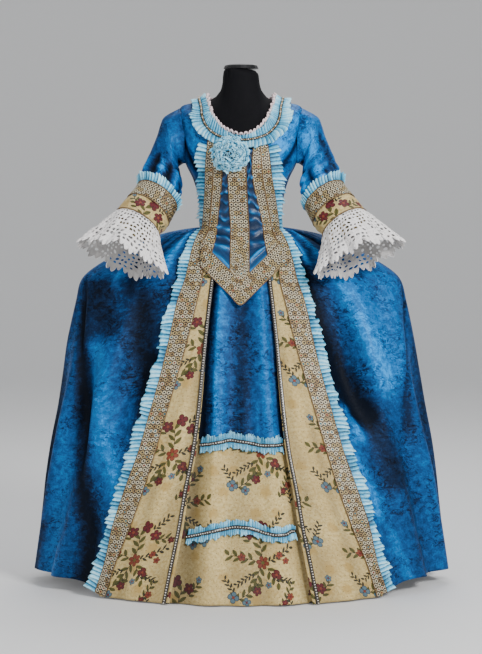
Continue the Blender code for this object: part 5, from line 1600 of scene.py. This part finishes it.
def cuffBand(tag, side):
    count = cuff["bandColumns"]
    v = np.linspace(braidEnd + 0.009, cuffEnd, cuff["bandRows"])[:, None]
    turn = (np.arange(count) * 2 * math.pi / count)[None, :]
    ripple = np.sin(5 * turn + 3 * v) + 0.6 * np.sin(11 * turn - 7 * v)
    puff = cuff["bandLift"] + cuff["bandPuff"] * np.sin(math.pi * (v - braidEnd)) + cuff["ripple"] * ripple
    points = toSide(armPoints(v, turn, puff), side)
    uv = cutPlaces(points, True)
    front = count * 3 // 4 if side > 0 else count // 4
    shift, drop = cuff["flowerShift"]  # a flower falls in front
    uv = uv + np.array([shift - uv[0, front, 0], drop])
    # painted shade and highlight follow the ripples, and the whole band is painted lighter than the same
    # brocade elsewhere
    makeSheet("cuff_band_" + tag, points, brocade, "laid", ["cuff_braid_" + tag], closed=True, uv=uv,
              tone=cuff["ripplePaintedShade"] * ripple[:, ::side] + cuff["bandPaintedLight"])


def cuffFrill(tag, side):
    count = frill["cuffPleats"]
    wave, longer, tilt, tone = (part[None, :] for part in pleatWave(count, 50 + side, True))
    turn = (np.arange(count * frill["perPleat"]) * 2 * math.pi / (count * frill["perPleat"]))[None, :]
    across = np.linspace(0, 1, cuff["frillRows"])[:, None]
    v = mix(4.985, 4.4 - 0.55 * longer, across)
    out = 0.0024 + 0.005 * across + frill["cuffDepth"] * wave * across ** 0.8
    points = armPoints(v, turn + 0.03 * tilt * across, out)[::-1]
    # painted shade at the frill's root and painted light towards its free edge
    tone = (tone + frill["rootShadeEdgeLight"] * (across - 0.6))[::-1]
    makeSheet("cuff_frill_" + tag, toSide(points, side), iceSatin, "gathered", ["sleeve_" + tag], closed=True,
              tone=tone[:, ::side])


# Lace: a lattice of corded cells, most with a round hole, with flower lumps and a fingered rim
lace = {"across": 46, "down": 10, "holeChance": 0.84, "scallopEvery": 4, "scallop": 0.017, "finger": 0.013,
        "wall": 0.0009, "cut": (0.3, 0.125), "insideTone": -1.0}


def lacePlace(turn, share):
    v = mix(cuffEnd + 0.012, float(laceEnd), share)
    flare = np.clip(share, 0, 1.3) ** 1.15
    wave = 0.01 * np.sin(4 * turn + 0.7) + 0.006 * np.sin(9 * turn + 2.0) + 0.002 * np.sin(19 * turn)
    wave *= flare
    first, last = named(armNames, armRows[cuffEnd]), named(armNames, armRows[laceEnd])
    wide = mix(first["wide"], last["wide"], flare) + wave
    deep = mix(first["deep"], last["deep"], flare) + wave
    return armPoints(np.minimum(v, laceEnd), turn, 0.0, wide, deep)


# The corners of one cell, sixteen places round a square
cellRing = ([(x / 2 - 1, -1.0) for x in range(4)] + [(1.0, y / 2 - 1) for y in range(4)]
            + [(1 - x / 2, 1.0) for x in range(4)] + [(-1.0, 1 - y / 2) for y in range(4)])


# Vertices (turn place, down place, rise, painted shade) and faces of half a flounce, laid flat
def laceCells(start, count, chance):
    spots, faces, found = [], [], {}

    def vertex(key, *values):
        if key not in found:
            found[key] = len(spots)
            spots.append(values)
        return found[key]

    def inner(c, r, kind, size, bent, rise, tone):
        ring = []
        for k, (x, y) in enumerate(cellRing):
            length = math.hypot(x, y)
            lobe = 1.0 + (0.16 * math.cos(k * math.pi / 2) if kind == "cord" else 0.0)
            ring.append(vertex((c, r, kind, k), c + 0.5 + bent[0] + x / length * size * lobe / 2,
                               r + 0.5 + bent[1] + y / length * size * lobe / 2, rise, tone))
        return ring

    for c in range(start, start + count):
        for r in range(lace["down"]):
            free = chance.random() < lace["holeChance"] and r < lace["down"] - 1
            lump, bent = chance.uniform(0.0012, 0.0034), chance.uniform(-0.1, 0.1, 2)
            edge = [vertex((4 * c + 2 * x + 2, 4 * r + 2 * y + 2), c + 0.5 + x / 2, r + 0.5 + y / 2, 0.0, 0.0)
                    for x, y in cellRing]
            # The tones paint highlight on the raised cords and hearts and shade on the lower petals and hole
            # rims
            rings = [edge, inner(c, r, "cord", 0.84, bent, lump, 0.6)]
            if free:
                rings.append(inner(c, r, "hole", chance.uniform(0.42, 0.7), bent, lump * 0.3, -0.25))
            else:
                rings.append(inner(c, r, "petal", 0.44, bent, lump * 0.7, -0.4))
                rings.append(inner(c, r, "heart", 0.2, bent, lump * 1.6, 0.7))
            for first, second in zip(rings, rings[1:]):
                faces += [(first[k], second[k], second[(k + 1) % 16], first[(k + 1) % 16]) for k in range(16)]
            if not free:
                faces.append(tuple(rings[-1][::-1]))
    return np.array(spots), faces


def makeLace(tag, side):
    chance = np.random.default_rng(60 + side)
    half, down = lace["across"] // 2, lace["down"]
    for part, start in (("front", 0), ("back", half)):
        spots, faces = laceCells(start, half, chance)
        turnPlace, downPlace, rise, tone = spots.T
        low = smooth((downPlace - (down - 1)) / 1.0)
        group = np.abs(np.sin(math.pi * turnPlace / lace["scallopEvery"]))
        finger = np.abs(np.sin(math.pi * turnPlace))
        share = downPlace / down * (1.0 - 0.012)
        sway = 0.25 * np.sin(downPlace * 1.9 + turnPlace * 0.7) * np.abs(np.sin(math.pi * turnPlace / half))
        sway = sway * smooth(share / 0.2) * smooth((1 - share) / 0.2)
        turn = (turnPlace + sway) / lace["across"] * 2 * math.pi
        flat = lacePlace(turn, share)
        downWay = flat - lacePlace(turn, share - 0.03)
        downWay /= np.linalg.norm(downWay, axis=1, keepdims=True)
        normal = np.cross(downWay, lacePlace(turn + 0.02, share) - flat)
        normal /= np.linalg.norm(normal, axis=1, keepdims=True)
        reach = low * (lace["scallop"] * (group - 0.6) + lace["finger"] * (finger - 0.45))
        fan = np.sin(turnPlace * 1.26) * np.sin(downPlace * 0.9) * 0.0014
        world = flat + downWay * reach[:, None] + normal * (rise + fan)[:, None]
        if side < 0:
            world[:, 0] *= -1.0
            faces = [face[::-1] for face in faces]
        uvs = np.stack((turn * 0.085, -share * 0.11), axis=-1)
        name = "lace_%s_%s" % (part, tag)
        thing = clothMesh(name + "_sewn", world, faces, uvs[np.concatenate(faces)], tone, laceThread)
        area = sum(face.area for face in thing.data.polygons)
        addWall(thing, lace["wall"], -1.0)
        inside = thing.data.attributes["tone"].data
        for k in range(len(spots), len(inside)):  # the inner side lies in the shade of the sleeve
            inside[k].value = lace["insideTone"]
        declare(thing, "lace", name, *lace["cut"], area, "gathered", ["cuff_band_" + tag])


for tag, side in bothSides:
    makeSleeve(tag, side)
    cuffBraid(tag, side)
    cuffBand(tag, side)
    cuffFrill(tag, side)
    makeLace(tag, side)
print("sleeves, cuffs and lace made")


# Beads: one is modelled, then copied along each chain and joined
beads = {
    "squash": 0.8, "uneven": (0.88, 1.12),
    "neckPitch": 0.0062, "neckRadius": 0.0024, "neckRise": 0.0018,
    "neckTapeWide": 0.0044, "neckTapeHigh": 0.0012,
    "edgePitch": 0.0072, "edgeRadius": 0.002, "tapeWide": 0.0056, "tapeHigh": 0.0013, "rise": 0.002,
    "panelAway": 0.09, "panelTop": 4.6,
}


def modelBead():
    bpy.ops.object.select_all(action="DESELECT")
    bpy.ops.mesh.primitive_uv_sphere_add(segments=8, ring_count=5, radius=1.0, location=(0, 0, 0))
    bead = bpy.context.object
    bpy.ops.object.mode_set(mode="EDIT")
    bpy.ops.mesh.select_all(action="SELECT")
    bpy.ops.transform.resize(value=(1.0, 1.0, beads["squash"]))
    bpy.ops.object.mode_set(mode="OBJECT")
    points = np.array([tuple(v.co) for v in bead.data.vertices])
    faces = [tuple(p.vertices) for p in bead.data.polygons]
    bpy.data.objects.remove(bead, do_unlink=True)
    return points, faces


beadPoints, beadFaces = modelBead()


def makeBeads(name, centres, radius, finishes):
    chance = np.random.default_rng(len(centres))
    points, faces, kinds = [], [], []
    for i, centre in enumerate(centres):
        base = len(points) * len(beadPoints)
        points.append(beadPoints * radius * chance.uniform(*beads["uneven"]) + centre)
        faces += [tuple(base + k for k in face) for face in beadFaces]
        kinds += [i % len(finishes)] * len(beadFaces)
    joinPiece(name, np.concatenate(points), faces, finishes, kinds)


def evenPoints(points, pitch):
    length = runLength(points)
    places = np.arange(0.0, length[-1], pitch)
    return np.stack([np.interp(places, length, points[:, k]) for k in range(3)], axis=-1)


# A dark tape with light beads sewn along it
def beadedTape(name, line, normals):
    makeCords("tape_" + name, [(line, normals)], beads["tapeWide"], beads["tapeHigh"], beadJet)
    centres = evenPoints(line + normals * beads["rise"], beads["edgePitch"])
    makeBeads("beads_" + name, centres, beads["edgeRadius"], [beadPearl])


def makeBeadChains():
    u = np.linspace(0, bodice.lastColumn, 900)
    line, normals = lineOn(bodice, u, neckReach(neckAngles(u)) * frill["neckSplit"], 0.0082)
    makeCords("tape_neck", [(line[::3], normals[::3])], beads["neckTapeWide"], beads["neckTapeHigh"], beadJet)
    centres = evenPoints(line + normals * beads["neckRise"], beads["neckPitch"])
    makeBeads("beads_neck", centres, beads["neckRadius"], [beadGold, beadPearl, beadGold])
    share = np.linspace(0, 1, 160)
    u = mix(frill["petticoatInset"], petticoat.lastColumn - frill["petticoatInset"], share)
    for name, row in frill["petticoatRow"].items():
        v = swayLine(share, row, name)
        out = 0.0054 + petticoatFold(u / petticoat.lastColumn, v)[0] * 0.8
        beadedTape("petticoat_" + name, *lineOn(petticoat, u, v, out))
    for tag, sign in bothSides[::-1]:
        v = np.linspace(beads["panelTop"], skirt.lastRow, 300)
        u = skirtMiddle + sign * (skirtColumn["bead"] + beads["panelAway"])
        beadedTape("panel_" + tag, *lineOn(skirt, u, v, 0.0022))


makeBeadChains()


# Small loops that stand along the inner edge of the neck frill
picot = {"count": 52, "tall": 0.0085, "wide": 0.0088, "thick": 0.0027}


def makePicots():
    chance = np.random.default_rng(13)
    lines = []
    t = np.linspace(-0.5, 0.5, 7)
    places = bodice.evenColumns(0.05, picot["count"] + 1)[0][:-1]
    for place in places:
        spot = np.array([place, place + 0.05])
        base, normals = lineOn(bodice, spot, 0.05, 0.0085 + chance.uniform(0.0, 0.003))
        below = bodice.at(spot, 0.8)
        side, rise = (base[1] - base[0]), (base[0] - below[0])
        side, rise = side / np.linalg.norm(side), rise / np.linalg.norm(rise)
        size = chance.uniform(0.75, 1.2)
        loop = side * (np.sin(math.pi * t) * picot["wide"] * size * 0.5)[:, None]
        loop = loop + rise * (np.cos(math.pi * t) * picot["tall"] * size)[:, None]
        lines.append((base[0] + loop, np.repeat(normals[:1], len(t), axis=0)))
    makeCords("picots_neck", lines, picot["thick"], picot["thick"], picotPink, sides=5)


makePicots()
print("beads and picots made")

# Rosette: a dense dome of small crumpled petals, open and ragged at its rim
rosette = {"radius": 0.047, "z": 1.213, "shiftX": -0.018, "forward": 0.014, "dome": 0.024, "petals": 250,
           "length": 0.0175, "width": 0.0155, "wall": 0.0004, "ribbon": 0.026}


def makeRosette():
    chance = np.random.default_rng(77)
    seat = bodice.at(float(bodiceMiddle), 4.0)
    centre = np.array([seat[0] + rosette["shiftX"], seat[1] - rosette["forward"], rosette["z"]])
    points, faces, uvs, paintedShades = [], [], [], []
    a, b = np.meshgrid(np.linspace(-0.5, 0.5, 5), np.linspace(0.0, 1.0, 5), indexing="xy")
    front = np.array([0.0, -1.0, 0.0])
    for k in range(rosette["petals"]):
        share = math.sqrt((k + 0.5) / rosette["petals"])
        turn = 2.39996 * k + chance.uniform(-0.3, 0.3)
        outWay = np.array([math.sin(turn), 0.0, math.cos(turn)])
        foot = centre + outWay * rosette["radius"] * 0.8 * share
        foot = foot + front * rosette["dome"] * (1.0 - share ** 2) * 0.7
        tip = math.radians(mix(8.0, 86.0, share ** 0.8) + chance.uniform(-24, 18))
        twist = chance.uniform(-0.9, 0.9)
        side = np.array([math.cos(turn), 0.0, -math.sin(turn)])
        rise = outWay * math.sin(tip) + front * math.cos(tip)
        face = front * math.sin(tip) - outWay * math.cos(tip)
        side = side * math.cos(twist) + face * math.sin(twist)
        face = np.cross(side, rise)
        size = chance.uniform(0.75, 1.2)
        wide = a * rosette["width"] * size * (0.3 + 0.7 * b ** 0.7)
        ragged = chance.uniform(-0.22, 0.12, 5)[None, :] * b
        tall = rosette["length"] * size * (b * (1.0 - 0.5 * (2 * a) ** 2 * b * 0.4) + ragged)
        crumple = 0.003 * b * np.sin(a * chance.uniform(9, 17) + chance.uniform(0, 6.28))
        crumple = crumple + 0.0015 * np.sin(b * 6 + chance.uniform(0, 6))
        base = len(points)
        sheet = foot + rise * tall[..., None] + side * wide[..., None] + face * crumple[..., None]
        points += sheet.reshape(-1, 3).tolist()
        uvs += np.stack((wide + (k % 40) * 0.03, tall + (k // 40) * 0.03), axis=-1).reshape(-1, 2).tolist()
        # painted shade deep among the petals, painted highlight at their tips and towards the middle of the
        # dome, with a random difference for each petal
        paintedShades += (1.9 * b - 1.42 + 0.25 * (1 - share) + chance.uniform(-0.3, 0.3)).reshape(-1).tolist()
        faces += [(base + r * 5 + c, base + r * 5 + c + 1, base + r * 5 + c + 6, base + r * 5 + c + 5)
                  for r in range(4) for c in range(4)]
    uvs = np.array(uvs)[np.concatenate(faces)]
    thing = clothMesh("rosette_petals", np.array(points), faces, uvs, paintedShades, iceSatin)
    area = sum(face.area for face in thing.data.polygons)
    addWall(thing, rosette["wall"], 0.0)
    long = round(area / rosette["ribbon"], 3)
    declare(thing, "frill", "rosette", long, rosette["ribbon"], area, "gathered", ["frill_neck"])


makeRosette()


# Dress form: a smoothed copy of the frame's body, a turned cap, and the stand
def makeForm():
    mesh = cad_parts["form_body"].data.copy()
    body = linked("dress_form", mesh)
    activate(body)
    bpy.ops.object.mode_set(mode="EDIT")
    bpy.ops.mesh.select_all(action="SELECT")
    bpy.ops.mesh.remove_doubles(threshold=0.0001)
    bpy.ops.object.mode_set(mode="OBJECT")
    rounder = body.modifiers.new("round", "SUBSURF")
    rounder.levels = rounder.render_levels = 1
    bpy.ops.object.modifier_apply(modifier="round")
    mesh.shade_smooth()
    mesh.materials.clear()
    mesh.materials.append(formCloth)
    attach(body, "root")
    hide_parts("form_body")
    for name in ("form_neck_cap", "stand_pole", "stand_base"):
        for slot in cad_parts[name].material_slots:
            slot.material = formMetal


makeForm()
print("rosette and dress form made")


# A pale seamless bowl, soft lights and air
stage = {"flat": 6.5, "curve": 3.5, "height": 7.0, "segments": 96, "tone": 0.72, "glow": 0.12, "air": 0.52}
lamps = (  # name, place, height aimed at, size, power
    ("key", (2.5, -4.0, 3.1), 0.8, 1.3, 270.0), ("fill", (-3.4, -3.4, 2.0), 0.8, 2.2, 50.0),
    ("top", (0.3, 1.8, 4.2), 0.9, 2.2, 90.0),
)


def addLamp(name, place, aimHeight, size, power):
    data = bpy.data.lights.new(name, "AREA")
    data.shape, data.size, data.energy = "DISK", size, power
    lamp = linked(name, data)
    lamp.location = place
    lamp.rotation_euler = (Vector((0, 0, aimHeight)) - Vector(place)).to_track_quat("-Z", "Y").to_euler()


def addStage():
    turns = np.arange(stage["segments"]) * 2 * math.pi / stage["segments"]
    bend = np.linspace(0.0, math.pi / 2, 14)
    flat, curve = stage["flat"], stage["curve"]
    profile = [(0.02, 0.0), (1.5, 0.0), (3.5, 0.0)]
    profile += [(flat + curve * math.sin(t), curve * (1 - math.cos(t))) for t in bend]
    profile.append((flat + curve, stage["height"]))
    points = [(r * math.cos(t), r * math.sin(t), z - 0.0005) for r, z in profile for t in turns]
    count = len(turns)
    faces = [tuple(range(count))]
    for k in range(len(profile) - 1):
        for s in range(count):
            n = (s + 1) % count
            faces.append((k * count + s, (k + 1) * count + s, (k + 1) * count + n, k * count + n))
    mesh = bpy.data.meshes.new("floor")
    mesh.from_pydata(points, [], faces)
    mesh.shade_smooth()
    floor = linked("floor", mesh)
    grey = (stage["tone"], stage["tone"], stage["tone"], 1)
    finish = newMaterial("paleFloor", {"Base Color": grey, "Roughness": 0.85, "Emission Color": grey,
                                       "Emission Strength": stage["glow"]})[0]
    mesh.materials.append(finish)
    for lamp in lamps:
        addLamp(*lamp)
    world = bpy.data.worlds.new("air")
    world.use_nodes = True
    world.node_tree.nodes["Background"].inputs[0].default_value = (0.8, 0.82, 0.85, 1)
    world.node_tree.nodes["Background"].inputs[1].default_value = stage["air"]
    bpy.context.scene.world = world


addStage()
